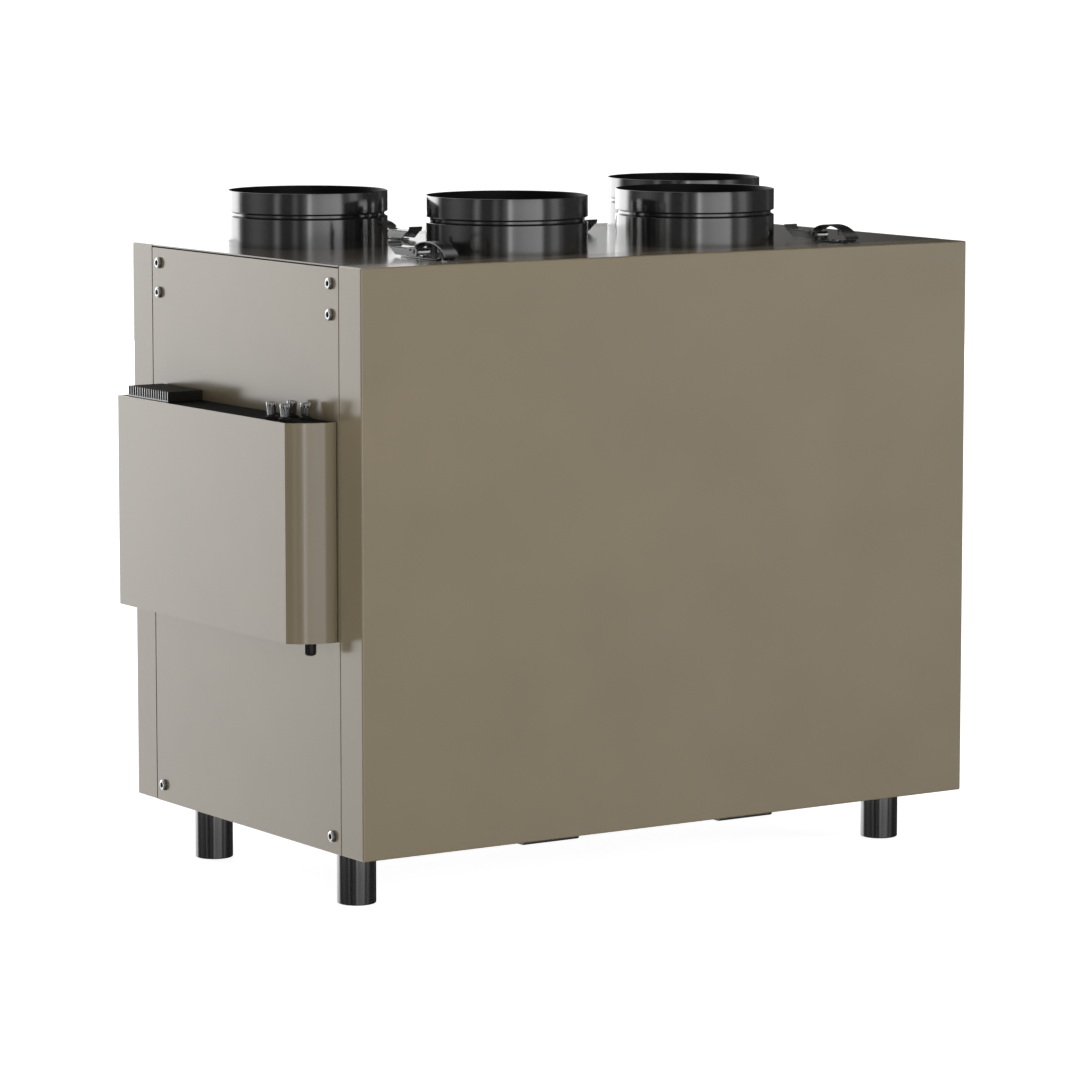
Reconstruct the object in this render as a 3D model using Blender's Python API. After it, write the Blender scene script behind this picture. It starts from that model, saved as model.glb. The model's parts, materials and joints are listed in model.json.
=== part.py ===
"""Floor-standing heat recovery ventilation unit with four duct spigots on top.

All lengths are in metres. Every object hangs from the empty "unit", whose origin is the middle of
the casing's underside: X runs along the front, Y from the front to the back, Z up. The world origin
is on the floor, in the middle of the unit's footprint, control box and screw heads included.
"""
import math

import bmesh
import bpy
from mathutils import Matrix, Vector

# Casing
CASING_WIDTH = 0.898
CASING_DEPTH = 0.558
CASING_HEIGHT = 0.707
COVER_DEPTH = 0.050
SEAM = 0.0016
SHEET = 0.0015
TOP_SHEET = 0.002
COVER_SHEET = 0.0012
BEND_RADIUS = 0.002
GAP = 0.0003

# Feet
FOOT_HEIGHT = 0.071
FOOT_RADIUS = 0.024
FOOT_X = 0.3965
FOOT_Y = 0.1754

# Duct spigots
SPIGOT_RADIUS = 0.100
SPIGOT_WALL = 0.0012
SPIGOT_HEIGHT = 0.069
SPIGOT_FLANGE = 0.012
GROOVE_TOP = 0.0435
GROOVE_HEIGHT = 0.0075
GROOVE_DEPTH = 0.004
REAR_SPIGOT_X = 0.287
FRONT_SPIGOT_X = 0.141
SPIGOT_Y = 0.117

# Draw latches, measured from the latch pivot; Y points to the lever's tip
LATCH_WIDTH = 0.0195
LATCH_PIVOT_Z = 0.0084
LATCH_PIVOT_INSET = 0.1106
FRONT_LATCH_X = 0.298
REAR_LATCH_X = 0.134
CLAW_PIN_Y = 0.008
CLAW_PIN_Z = 0.0100
STRIKE_HEIGHT = 0.004

# Lower hooks that carry the covers
HOOK_X = 0.147
HOOK_WIDTH = 0.0815
HOOK_DROP = 0.015

# Side-panel screws: M8 button heads
SCREW_HEAD_RADIUS = 0.007
SCREW_HEAD_HEIGHT = 0.0043
SCREW_SHANK_RADIUS = 0.004
SCREW_LENGTH = 0.0065
SCREW_INSET = 0.070
SCREW_LEVELS = (0.685, 0.648, 0.021)

# Control box on the left side
BOX_DEPTH = 0.0586
BOX_BOTTOM = 0.2578
BOX_TOP = 0.5215
BOX_REAR = 0.4923
BOX_NOSE_CENTRE_OUT = 0.009
BOX_NOSE_CENTRE_Y = 0.120
BOX_NOSE_RADIUS = 0.0646
GLAND_OUT = (0.0425, 0.014)
GLAND_Y = (0.137, 0.105)
SINK_OUT = (0.0028, 0.0521)
SINK_Y = (0.3753, 0.4765)
SINK_HEIGHT = 0.013
SINK_FINS = 18
BUTTON_OUT = 0.0244
BUTTON_Y = 0.080
BUTTON_RADIUS = 0.0073
BUTTON_LENGTH = 0.017

# Air passages inside the casing
WALL_X = 0.438
CHAMBER_X = 0.400
FLOOR_TOP = 0.033
PLINTH_X = 0.045
PLINTH_TOP = 0.1547
SHELF_BOTTOM = 0.292
SHELF_TOP = 0.308
ROOF_BOTTOM = 0.560
DUCT_INNER_X = 0.188
DUCT_WALL = 0.012
CHANNEL_Y = 0.153
EXCHANGER_Z = 0.300
EXCHANGER_HALF_WIDTH = 0.165
EXCHANGER_HALF_HEIGHT = 0.120
EXCHANGER_FLAT = 0.045
EXCHANGER_REAR = 0.150
FILTER_LENGTH = 0.150
FILTER_THICKNESS = 0.036
DRAIN_RADIUS = 0.016
DRAIN_BORE = 0.0135
DRAIN_DROP = 0.035

# Fans
FAN_X = 0.272
FAN_Z = 0.150
FAN_FRONT = 0.040
FAN_DEPTH = 0.110
SCROLL_WALL = 0.0025
SCROLL_MIN = 0.088
SCROLL_MAX = 0.122
IMPELLER_RADIUS = 0.078
INLET_RADIUS = 0.056
BLADES = 8

# Planes that several parts share
HALF_WIDTH = CASING_WIDTH / 2
FRONT = -CASING_DEPTH / 2
BACK = CASING_DEPTH / 2
BODY_FRONT = FRONT + COVER_DEPTH + SEAM
BODY_BACK = BACK - COVER_DEPTH - SEAM
PANEL_TOP = CASING_HEIGHT - TOP_SHEET
SPIGOTS = {
    "front_left": (-FRONT_SPIGOT_X, -SPIGOT_Y),
    "front_right": (FRONT_SPIGOT_X, -SPIGOT_Y),
    "rear_left": (-REAR_SPIGOT_X, SPIGOT_Y),
    "rear_right": (REAR_SPIGOT_X, SPIGOT_Y),
}
LATCHES = {
    "front_left": (-FRONT_LATCH_X, FRONT + LATCH_PIVOT_INSET, 0.0),
    "front_right": (FRONT_LATCH_X, FRONT + LATCH_PIVOT_INSET, 0.0),
    "rear_left": (-REAR_LATCH_X, BACK - LATCH_PIVOT_INSET, math.pi),
    "rear_right": (REAR_LATCH_X, BACK - LATCH_PIVOT_INSET, math.pi),
}


def clear_scene():
    for obj in list(bpy.data.objects):
        bpy.data.objects.remove(obj, do_unlink=True)


def material(name, colour, roughness, metallic):
    made = bpy.data.materials.new(name)
    made.use_nodes = True
    shader = made.node_tree.nodes["Principled BSDF"]
    shader.inputs["Base Color"].default_value = (*colour, 1.0)
    shader.inputs["Roughness"].default_value = roughness
    shader.inputs["Metallic"].default_value = metallic
    made.diffuse_color = (*colour, 1.0)
    return made


# ---- mesh building ----

def add_box(bm, x, y, z):
    """Adds a closed box between the pairs of limits x, y and z."""
    centre = Vector(((x[0] + x[1]) / 2, (y[0] + y[1]) / 2, (z[0] + z[1]) / 2))
    size = (x[1] - x[0], y[1] - y[0], z[1] - z[0], 1.0)
    bmesh.ops.create_cube(bm, size=1.0, matrix=Matrix.Translation(centre) @ Matrix.Diagonal(size))


def add_prism(bm, outline, start, end, axis):
    """Adds the closed 2-D outline pushed from start to end along axis ('X', 'Y' or 'Z')."""
    def place(point, level):
        a, b = point
        return {"X": (level, a, b), "Y": (a, level, b), "Z": (a, b, level)}[axis]

    verts = [bm.verts.new(place(point, start)) for point in outline]
    face = bm.faces.new(verts)
    pushed = bmesh.ops.extrude_face_region(bm, geom=[face])
    moved = [item for item in pushed["geom"] if isinstance(item, bmesh.types.BMVert)]
    shift = Vector(place((0.0, 0.0), end)) - Vector(place((0.0, 0.0), start))
    bmesh.ops.translate(bm, verts=moved, vec=shift)


def add_turned(bm, profile, steps, axis="Z", centre=(0.0, 0.0, 0.0), closed=False):
    """Adds the profile of (radius, height) points turned round axis through centre."""
    place = Vector(centre)

    def point(radius, height):
        local = {"X": (height, radius, 0.0), "Y": (radius, height, 0.0), "Z": (radius, 0.0, height)}[axis]
        return place + Vector(local)

    verts = [bm.verts.new(point(radius, height)) for radius, height in profile]
    pairs = list(zip(verts, verts[1:]))
    if closed:
        pairs.append((verts[-1], verts[0]))
    edges = [bm.edges.new(pair) for pair in pairs]
    turn_axis = {"X": (1, 0, 0), "Y": (0, 1, 0), "Z": (0, 0, 1)}[axis]
    bmesh.ops.spin(bm, geom=verts + edges, cent=place, axis=turn_axis, angle=2 * math.pi,
                   steps=steps, use_merge=True, use_duplicate=False)
    bmesh.ops.remove_doubles(bm, verts=bm.verts, dist=1e-6)


def add_rod(bm, radius, start, end, steps, axis="Z", centre=(0.0, 0.0, 0.0)):
    add_turned(bm, [(0.0, start), (radius, start), (radius, end), (0.0, end)], steps, axis, centre)


def rounded(centre, radius, start, end, steps):
    """Points of an arc, angles in degrees, both ends included."""
    angles = [math.radians(start + (end - start) * step / steps) for step in range(steps + 1)]
    return [(centre[0] + radius * math.cos(a), centre[1] + radius * math.sin(a)) for a in angles]


def part(name, bm, look, origin=(0.0, 0.0, 0.0), smooth=False):
    """Makes the object: bm is in casing coordinates, origin is where the object's own origin goes."""
    bmesh.ops.recalc_face_normals(bm, faces=bm.faces)
    bmesh.ops.translate(bm, verts=bm.verts, vec=-Vector(origin))
    mesh = bpy.data.meshes.new(name)
    bm.to_mesh(mesh)
    bm.free()
    mesh.materials.append(look)
    if smooth:
        mesh.shade_smooth()
        mesh.set_sharp_from_angle(angle=math.radians(30))
    obj = bpy.data.objects.new(name, mesh)
    bpy.context.scene.collection.objects.link(obj)
    obj.parent = bpy.data.objects["unit"]
    obj.location = origin
    return obj


def combine(obj, bm, operation):
    """Joins bm to obj (UNION) or cuts it away (DIFFERENCE); bm is in casing coordinates."""
    count = len(obj.modifiers) + 1
    tool = part(f"{obj.name}_{operation.lower()}_{count}", bm, obj.data.materials[0], obj.location)
    tool.hide_render = True
    tool.display_type = "WIRE"
    modifier = obj.modifiers.new(operation.title(), "BOOLEAN")
    modifier.object = tool
    modifier.operation = operation
    modifier.solver = "EXACT"


def place_copy(source, name, location, turn=0.0):
    """A second object with the same mesh, for pieces without modifiers."""
    obj = bpy.data.objects.new(name, source.data)
    bpy.context.scene.collection.objects.link(obj)
    obj.parent = bpy.data.objects["unit"]
    obj.location = location
    obj.rotation_euler.z = turn
    return obj


def apply_modifiers(obj):
    """Keeps the finished shape as the object's mesh, so that copies can share it."""
    graph = bpy.context.evaluated_depsgraph_get()
    finished = bpy.data.meshes.new_from_object(obj.evaluated_get(graph))
    tools = [modifier.object for modifier in obj.modifiers if modifier.type == "BOOLEAN"]
    obj.modifiers.clear()
    obj.data = finished
    for tool in tools:
        bpy.data.objects.remove(tool, do_unlink=True)


# ---- casing ----

def make_base_tray(look):
    edge = HALF_WIDTH - SHEET - GAP
    lip = 0.014
    section = [(-edge, 0.0), (edge, 0.0), (edge, lip), (edge - SHEET, lip), (edge - SHEET, TOP_SHEET),
               (SHEET - edge, TOP_SHEET), (SHEET - edge, lip), (-edge, lip)]
    bm = bmesh.new()
    add_prism(bm, section, BODY_FRONT, BODY_BACK, "Y")
    tray = part("base_tray", bm, look)
    hooks = bmesh.new()
    plate = 0.0025
    reach = 0.028
    for end, inward in ((BODY_FRONT, 1), (BODY_BACK, -1)):
        face = end + inward * GAP
        outline = [(face, TOP_SHEET / 2), (face, -HOOK_DROP), (face + inward * reach, -HOOK_DROP),
                   (face + inward * reach, plate - HOOK_DROP), (face + inward * plate, plate - HOOK_DROP),
                   (face + inward * plate, TOP_SHEET / 2)]
        for x in (-HOOK_X, HOOK_X):
            add_prism(hooks, outline, x - HOOK_WIDTH / 2, x + HOOK_WIDTH / 2, "X")
    combine(tray, hooks, "UNION")
    hole = bmesh.new()
    add_rod(hole, DRAIN_RADIUS + GAP, -0.01, 0.01, 24)
    combine(tray, hole, "DIFFERENCE")


def make_top_panel(look):
    bm = bmesh.new()
    add_box(bm, (-HALF_WIDTH, HALF_WIDTH), (BODY_FRONT, BODY_BACK), (PANEL_TOP, CASING_HEIGHT))
    panel = part("top_panel", bm, look)
    holes = bmesh.new()
    for x, y in SPIGOTS.values():
        add_rod(holes, SPIGOT_RADIUS + GAP, PANEL_TOP - 0.01, CASING_HEIGHT + 0.01, 48, centre=(x, y, 0.0))
    combine(panel, holes, "DIFFERENCE")


def screw_places():
    """Six places on each side panel: two at each top corner and one at each bottom corner."""
    return [(y, z) for z in SCREW_LEVELS for y in (FRONT + SCREW_INSET, BACK - SCREW_INSET)]


def make_side_panels(look):
    top = PANEL_TOP - 0.0012
    bm = bmesh.new()
    add_box(bm, (-HALF_WIDTH, SHEET - HALF_WIDTH), (BODY_FRONT, BODY_BACK), (0.0, top))
    left = part("left_side_panel", bm, look)
    holes = bmesh.new()
    for y, z in screw_places():
        add_rod(holes, SCREW_SHANK_RADIUS + GAP, -HALF_WIDTH - 0.01, 0.01 - HALF_WIDTH, 16, "X", (0.0, y, z))
    combine(left, holes, "DIFFERENCE")

    bm = bmesh.new()
    add_box(bm, (HALF_WIDTH - SHEET, HALF_WIDTH), (BODY_FRONT, BODY_BACK), (0.0, top))
    right = part("right_side_panel", bm, look)
    heads = bmesh.new()
    for y, z in screw_places():
        head = [(0.0, HALF_WIDTH - SHEET / 2), (SCREW_HEAD_RADIUS, HALF_WIDTH - SHEET / 2)]
        head += [(SCREW_HEAD_RADIUS, HALF_WIDTH + 0.0015), (0.0045, HALF_WIDTH + SCREW_HEAD_HEIGHT)]
        head += [(0.0, HALF_WIDTH + SCREW_HEAD_HEIGHT)]
        add_turned(heads, head, 16, "X", (0.0, y, z))
    combine(right, heads, "UNION")


def make_side_screws(look):
    profile = [(0.0, -SCREW_LENGTH), (SCREW_SHANK_RADIUS, -SCREW_LENGTH), (SCREW_SHANK_RADIUS, GAP)]
    profile += [(SCREW_HEAD_RADIUS, GAP), (SCREW_HEAD_RADIUS, 0.0016), (0.0062, 0.0032)]
    profile += [(0.0045, SCREW_HEAD_HEIGHT), (0.0, SCREW_HEAD_HEIGHT)]
    profile = [(radius, -height) for radius, height in profile]
    bm = bmesh.new()
    add_turned(bm, profile, 20, "X")
    first = part("side_screw_1", bm, look, smooth=True)
    socket = bmesh.new()
    hexagon = [(0.0033 * math.cos(math.radians(60 * k)), 0.0033 * math.sin(math.radians(60 * k)))
               for k in range(6)]
    add_prism(socket, hexagon, -SCREW_HEAD_HEIGHT - 0.001, 0.0022 - SCREW_HEAD_HEIGHT, "X")
    combine(first, socket, "DIFFERENCE")
    apply_modifiers(first)
    for number, (y, z) in enumerate(screw_places(), start=1):
        if number == 1:
            first.location = (-HALF_WIDTH, y, z)
        else:
            place_copy(first, f"side_screw_{number}", (-HALF_WIDTH, y, z))


def make_cover(name, side, look, foam):
    """A deep folded sheet, open towards the casing, with an insulating slab inside.

    side is -1 for the front cover and 1 for the rear one. Its origin is on its lower hooks' axis.
    """
    outer = side * CASING_DEPTH / 2
    inner = outer - side * COVER_DEPTH
    origin = (0.0, inner - side * SEAM / 2, -0.001)
    bm = bmesh.new()
    add_box(bm, (-HALF_WIDTH, HALF_WIDTH), tuple(sorted((inner, outer))), (0.0, CASING_HEIGHT))
    back = [face for face in bm.faces if abs(face.calc_center_median().y - inner) < 1e-5]
    bmesh.ops.delete(bm, geom=back, context="FACES")
    cover = part(name, bm, look, origin, smooth=True)
    bend = cover.modifiers.new("Bend", "BEVEL")
    bend.width = BEND_RADIUS
    bend.segments = 3
    sheet = cover.modifiers.new("Sheet", "SOLIDIFY")
    sheet.thickness = COVER_SHEET
    sheet.offset = -1.0
    sheet.use_even_offset = True

    strikes = bmesh.new()
    near = inner + side * 0.002
    far = inner + side * 0.015
    for latch, (x, _, _) in LATCHES.items():
        if latch.startswith("front") == (side < 0):
            add_box(strikes, (x - LATCH_WIDTH / 2, x + LATCH_WIDTH / 2), tuple(sorted((near, far))),
                    (CASING_HEIGHT - COVER_SHEET / 2, CASING_HEIGHT + STRIKE_HEIGHT))
    combine(cover, strikes, "UNION")

    clear = 0.001
    bm = bmesh.new()
    faces = sorted((inner + side * 0.0007, outer - side * (COVER_SHEET + GAP)))
    add_box(bm, (COVER_SHEET + clear - HALF_WIDTH, HALF_WIDTH - COVER_SHEET - clear), tuple(faces),
            (COVER_SHEET + clear, CASING_HEIGHT - COVER_SHEET - clear))
    part(f"{name}_insulation", bm, foam, origin)


def make_feet(look):
    height = FOOT_HEIGHT - GAP
    profile = [(0.0, -FOOT_HEIGHT), (FOOT_RADIUS - 0.0015, -FOOT_HEIGHT), (FOOT_RADIUS, 0.0015 - FOOT_HEIGHT),
               (FOOT_RADIUS, height - FOOT_HEIGHT - 0.0015), (FOOT_RADIUS - 0.0015, height - FOOT_HEIGHT),
               (0.0, height - FOOT_HEIGHT)]
    bm = bmesh.new()
    add_turned(bm, profile, 36)
    first = part("foot_front_left", bm, look, smooth=True)
    first.location = (-FOOT_X, -FOOT_Y, 0.0)
    place_copy(first, "foot_front_right", (FOOT_X, -FOOT_Y, 0.0))
    place_copy(first, "foot_rear_left", (-FOOT_X, FOOT_Y, 0.0))
    place_copy(first, "foot_rear_right", (FOOT_X, FOOT_Y, 0.0))


def make_spigots(look):
    """Thin duct collars: a flange under the top panel, a plain wall and one rolled-in groove."""
    inner = SPIGOT_RADIUS - SPIGOT_WALL
    flange_top = -TOP_SHEET - GAP
    flange_bottom = flange_top - SHEET
    low = GROOVE_TOP - GROOVE_HEIGHT
    ramp = 0.002
    profile = [(SPIGOT_RADIUS + SPIGOT_FLANGE, flange_bottom), (SPIGOT_RADIUS + SPIGOT_FLANGE, flange_top),
               (SPIGOT_RADIUS, flange_top)]
    for radius, shift in ((SPIGOT_RADIUS, 0.0), (inner, 0.0004)):
        wall = [(radius, low - shift), (radius - GROOVE_DEPTH, low + ramp - shift),
                (radius - GROOVE_DEPTH, GROOVE_TOP - ramp + shift), (radius, GROOVE_TOP + shift),
                (radius, SPIGOT_HEIGHT)]
        profile += wall if shift == 0.0 else reversed(wall)
    profile.append((inner, flange_bottom))
    bm = bmesh.new()
    add_turned(bm, profile, 48, closed=True)
    first = None
    for place, (x, y) in SPIGOTS.items():
        if first is None:
            first = part(f"duct_spigot_{place}", bm, look, smooth=True)
            first.location = (x, y, CASING_HEIGHT)
        else:
            place_copy(first, f"duct_spigot_{place}", (x, y, CASING_HEIGHT))


# ---- latches ----

def make_latch_base(look):
    """A riveted foot with two ears; origin on the panel under the lever's pivot."""
    narrow = 0.0079
    ear = 0.0015
    bm = bmesh.new()
    half = LATCH_WIDTH / 2
    outline = [(-half, -0.050), (half, -0.050), (half, -0.011), (narrow, -0.009), (narrow, 0.034),
               (-narrow, 0.034), (-narrow, -0.009), (-half, -0.011)]
    add_prism(bm, outline, GAP, 0.0018, "Z")
    base = part("latch_base_front_left", bm, look)
    ears = bmesh.new()
    profile = [(-0.006, 0.001), (0.006, 0.001), (0.0045, 0.0112), (-0.0045, 0.0112)]
    for x in (ear - narrow, narrow):
        add_prism(ears, profile, x - ear, x, "X")
    combine(base, ears, "UNION")
    hole = bmesh.new()
    add_rod(hole, 0.0023, -0.02, 0.02, 12, "X", (0.0, 0.0, LATCH_PIVOT_Z))
    combine(base, hole, "DIFFERENCE")
    apply_modifiers(base)
    return base


def make_latch_lever(look):
    """A folded lever: two cheeks, a top plate with a finger lip, and the two pins it carries."""
    half = LATCH_WIDTH / 2
    cheek = 0.0015
    pivot = (0.0, 0.0, LATCH_PIVOT_Z)
    bm = bmesh.new()
    add_box(bm, (-half, half), (0.0165, 0.0565), (0.0109, 0.0124))
    lever = part("latch_lever_front_left", bm, look, pivot)
    cheeks = bmesh.new()
    outline = [(-0.0065, 0.0122), (-0.0065, 0.0060), (-0.0045, 0.0024), (0.0430, 0.0024), (0.0560, 0.0116),
               (0.0560, 0.0122)]
    for x in (-half, half - cheek):
        add_prism(cheeks, outline, x, x + cheek, "X")
    combine(lever, cheeks, "UNION")
    lip = bmesh.new()
    add_prism(lip, [(0.0535, 0.0111), (0.0572, 0.0111), (0.0622, 0.0168), (0.0622, 0.0183), (0.0606, 0.0183)],
              0.0002 - half, half - 0.0002, "X")
    combine(lever, lip, "UNION")
    pins = bmesh.new()
    reach = half - cheek / 2
    add_rod(pins, 0.0020, -reach, reach, 12, "X", pivot)
    add_rod(pins, 0.0013, -reach, reach, 12, "X", (0.0, CLAW_PIN_Y, CLAW_PIN_Z))
    combine(lever, pins, "UNION")
    apply_modifiers(lever)
    return lever


def claw_arch(steps):
    """Centre line of the spring strap, from above the lever's nose down to the strike."""
    start = Vector((-0.0010, 0.0146))
    rise = Vector((-0.0200, 0.0260))
    fall = Vector((-0.0600, 0.0230))
    end = Vector((-0.0712, 0.0050))
    points = []
    for step in range(steps + 1):
        t = step / steps
        u = 1.0 - t
        points.append(u ** 3 * start + 3 * u * u * t * rise + 3 * u * t * t * fall + t ** 3 * end)
    return points


def strap_outline(points, thickness):
    """A closed outline of constant thickness along the line through points."""
    left = []
    right = []
    for index, point in enumerate(points):
        before = points[max(index - 1, 0)]
        after = points[min(index + 1, len(points) - 1)]
        along = (after - before).normalized()
        across = Vector((-along.y, along.x)) * thickness / 2
        left.append(tuple(point + across))
        right.append(tuple(point - across))
    return left + right[::-1]


def make_latch_claw(look):
    """An arched spring strap with a barrel on the lever's second pin and a straight bar inside."""
    half = LATCH_WIDTH / 2
    neck = 0.0060
    pin = (0.0, CLAW_PIN_Y, CLAW_PIN_Z)
    bm = bmesh.new()
    add_prism(bm, strap_outline(claw_arch(10), 0.0014), -half, half, "X")
    claw = part("latch_claw_front_left", bm, look, pin)
    shoulder = bmesh.new()
    add_prism(shoulder, [(CLAW_PIN_Y, 0.0108), (CLAW_PIN_Y + 0.0008, 0.0124), (-0.0012, 0.0153), (-0.0020, 0.0140)],
              -neck, neck, "X")
    combine(claw, shoulder, "UNION")
    barrel = bmesh.new()
    add_rod(barrel, 0.0026, 0.0002 - neck, neck - 0.0002, 12, "X", pin)
    combine(claw, barrel, "UNION")
    bar = bmesh.new()
    add_prism(bar, [(-0.0080, 0.0098), (-0.0470, 0.0098), (-0.0470, 0.0200), (-0.0455, 0.0212),
                    (-0.0455, 0.0113), (-0.0080, 0.0113)], -0.0040, 0.0040, "X")
    combine(claw, bar, "UNION")
    bore = bmesh.new()
    add_rod(bore, 0.0016, -0.02, 0.02, 12, "X", pin)
    combine(claw, bore, "DIFFERENCE")
    apply_modifiers(claw)
    return claw


def make_latches(look):
    pieces = (
        (make_latch_base(look), "latch_base", Vector((0.0, 0.0, 0.0))),
        (make_latch_lever(look), "latch_lever", Vector((0.0, 0.0, LATCH_PIVOT_Z))),
        (make_latch_claw(look), "latch_claw", Vector((0.0, CLAW_PIN_Y, CLAW_PIN_Z))),
    )
    for source, kind, offset in pieces:
        for place, (x, y, turn) in LATCHES.items():
            spot = Vector((x, y, CASING_HEIGHT)) + Matrix.Rotation(turn, 3, "Z") @ offset
            if place == "front_left":
                source.location = spot
            else:
                place_copy(source, f"{kind}_{place}", spot, turn)


# ---- control box ----

def box_outline(inset, open_side):
    """Plan of the control box: a flat outer wall, a bulging front end and a square rear end."""
    radius = BOX_NOSE_RADIUS - inset
    out = BOX_DEPTH - inset
    centre = (-HALF_WIDTH - BOX_NOSE_CENTRE_OUT, FRONT + BOX_NOSE_CENTRE_Y)
    start = math.degrees(math.asin(-math.sqrt(radius ** 2 - (out - BOX_NOSE_CENTRE_OUT) ** 2) / radius))
    end = math.degrees(math.acos((BOX_NOSE_CENTRE_OUT - open_side) / radius))
    nose = rounded(centre, radius, -180.0 - start, -end, 14)
    rear = FRONT + BOX_REAR - inset
    return nose + [(-HALF_WIDTH - open_side, rear), (-HALF_WIDTH - out, rear)]


def make_control_box(paint, plate_look, board_look):
    bm = bmesh.new()
    add_prism(bm, box_outline(0.0, GAP), BOX_BOTTOM, BOX_TOP, "Z")
    cover = part("control_box_cover", bm, paint)
    hollow = bmesh.new()
    add_prism(hollow, box_outline(SHEET, -0.003), BOX_BOTTOM + SHEET, BOX_TOP + 0.01, "Z")
    combine(cover, hollow, "DIFFERENCE")
    button = (-HALF_WIDTH - BUTTON_OUT, FRONT + BUTTON_Y, 0.0)
    hole = bmesh.new()
    add_rod(hole, BUTTON_RADIUS + GAP, BOX_BOTTOM - 0.01, BOX_BOTTOM + 0.01, 20, centre=button)
    combine(cover, hole, "DIFFERENCE")

    plate_top = BOX_TOP - 0.0005
    bm = bmesh.new()
    add_prism(bm, box_outline(SHEET + GAP, GAP), plate_top - 0.0025, plate_top, "Z")
    plate = part("control_box_top_plate", bm, plate_look)
    holes = bmesh.new()
    for out in GLAND_OUT:
        for y in GLAND_Y:
            add_rod(holes, 0.0063, plate_top - 0.01, plate_top + 0.01, 20,
                    centre=(-HALF_WIDTH - out, FRONT + y, 0.0))
    combine(plate, holes, "DIFFERENCE")

    bm = bmesh.new()
    add_box(bm, (-HALF_WIDTH - GAP - SHEET, -HALF_WIDTH - GAP), (FRONT + 0.066, FRONT + BOX_REAR - 0.003),
            (BOX_BOTTOM + 0.003, BOX_TOP - 0.006))
    part("control_box_back", bm, paint)

    bm = bmesh.new()
    face = -HALF_WIDTH - 0.014
    add_box(bm, (face, face + 0.0016), (FRONT + 0.150, FRONT + 0.350), (0.290, 0.490))
    board = part("circuit_board", bm, board_look)
    chips = bmesh.new()
    add_box(chips, (face - 0.022, face + 0.0008), (FRONT + 0.165, FRONT + 0.205), (0.430, 0.478))
    add_box(chips, (face - 0.014, face + 0.0008), (FRONT + 0.225, FRONT + 0.265), (0.380, 0.420))
    add_box(chips, (face - 0.012, face + 0.0008), (FRONT + 0.160, FRONT + 0.340), (0.296, 0.310))
    add_box(chips, (face - 0.030, face + 0.0008), (FRONT + 0.290, FRONT + 0.325), (0.420, 0.455))
    combine(board, chips, "UNION")
    return plate_top


def make_heat_sink(look, plate_top):
    """A comb of upright fins across the box, pushed from the casing side outwards."""
    base = plate_top + GAP
    floor = base + 0.002
    top = base + SINK_HEIGHT
    thickness = 0.0016
    start, end = (FRONT + y for y in SINK_Y)
    pitch = (end - start - thickness) / (SINK_FINS - 1)
    outline = [(end, base), (start, base)]
    for fin in range(SINK_FINS):
        y = start + fin * pitch
        outline += [(y, top), (y + thickness, top)]
        if fin < SINK_FINS - 1:
            outline += [(y + thickness, floor), (y + pitch, floor)]
    bm = bmesh.new()
    add_prism(bm, outline, -HALF_WIDTH - SINK_OUT[1], -HALF_WIDTH - SINK_OUT[0], "X")
    part("heat_sink", bm, look)


def make_glands(look, plate_top):
    """Cable glands: thread through the plate, seated collar, slimmer dome nut with an open mouth."""
    profile = [(0.0, -0.012), (0.006, -0.012), (0.006, GAP), (0.008, GAP), (0.008, 0.0035), (0.0056, 0.0035),
               (0.0056, 0.0080), (0.0063, 0.0095), (0.0063, 0.0175), (0.0052, 0.0200), (0.0037, 0.0200),
               (0.0037, 0.0090), (0.0, 0.0090)]
    bm = bmesh.new()
    add_turned(bm, profile, 20)
    first = None
    number = 0
    for out in GLAND_OUT:
        for y in GLAND_Y:
            number += 1
            spot = (-HALF_WIDTH - out, FRONT + y, plate_top)
            if first is None:
                first = part("cable_gland_1", bm, look, smooth=True)
                first.location = spot
            else:
                place_copy(first, f"cable_gland_{number}", spot)


def make_service_button(look):
    """A round-ended push button that sticks out of the control box's underside."""
    spot = (-HALF_WIDTH - BUTTON_OUT, FRONT + BUTTON_Y, BOX_BOTTOM)
    end = 0.0042
    profile = [(0.0, -BUTTON_LENGTH)]
    profile += rounded((BUTTON_RADIUS - end, end - BUTTON_LENGTH), end, -90.0, 0.0, 4)
    profile += [(BUTTON_RADIUS, 0.0065), (0.0, 0.0065)]
    bm = bmesh.new()
    add_turned(bm, profile, 20)
    button = part("service_button", bm, look, smooth=True)
    button.location = spot


# ---- inside the casing ----

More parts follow.
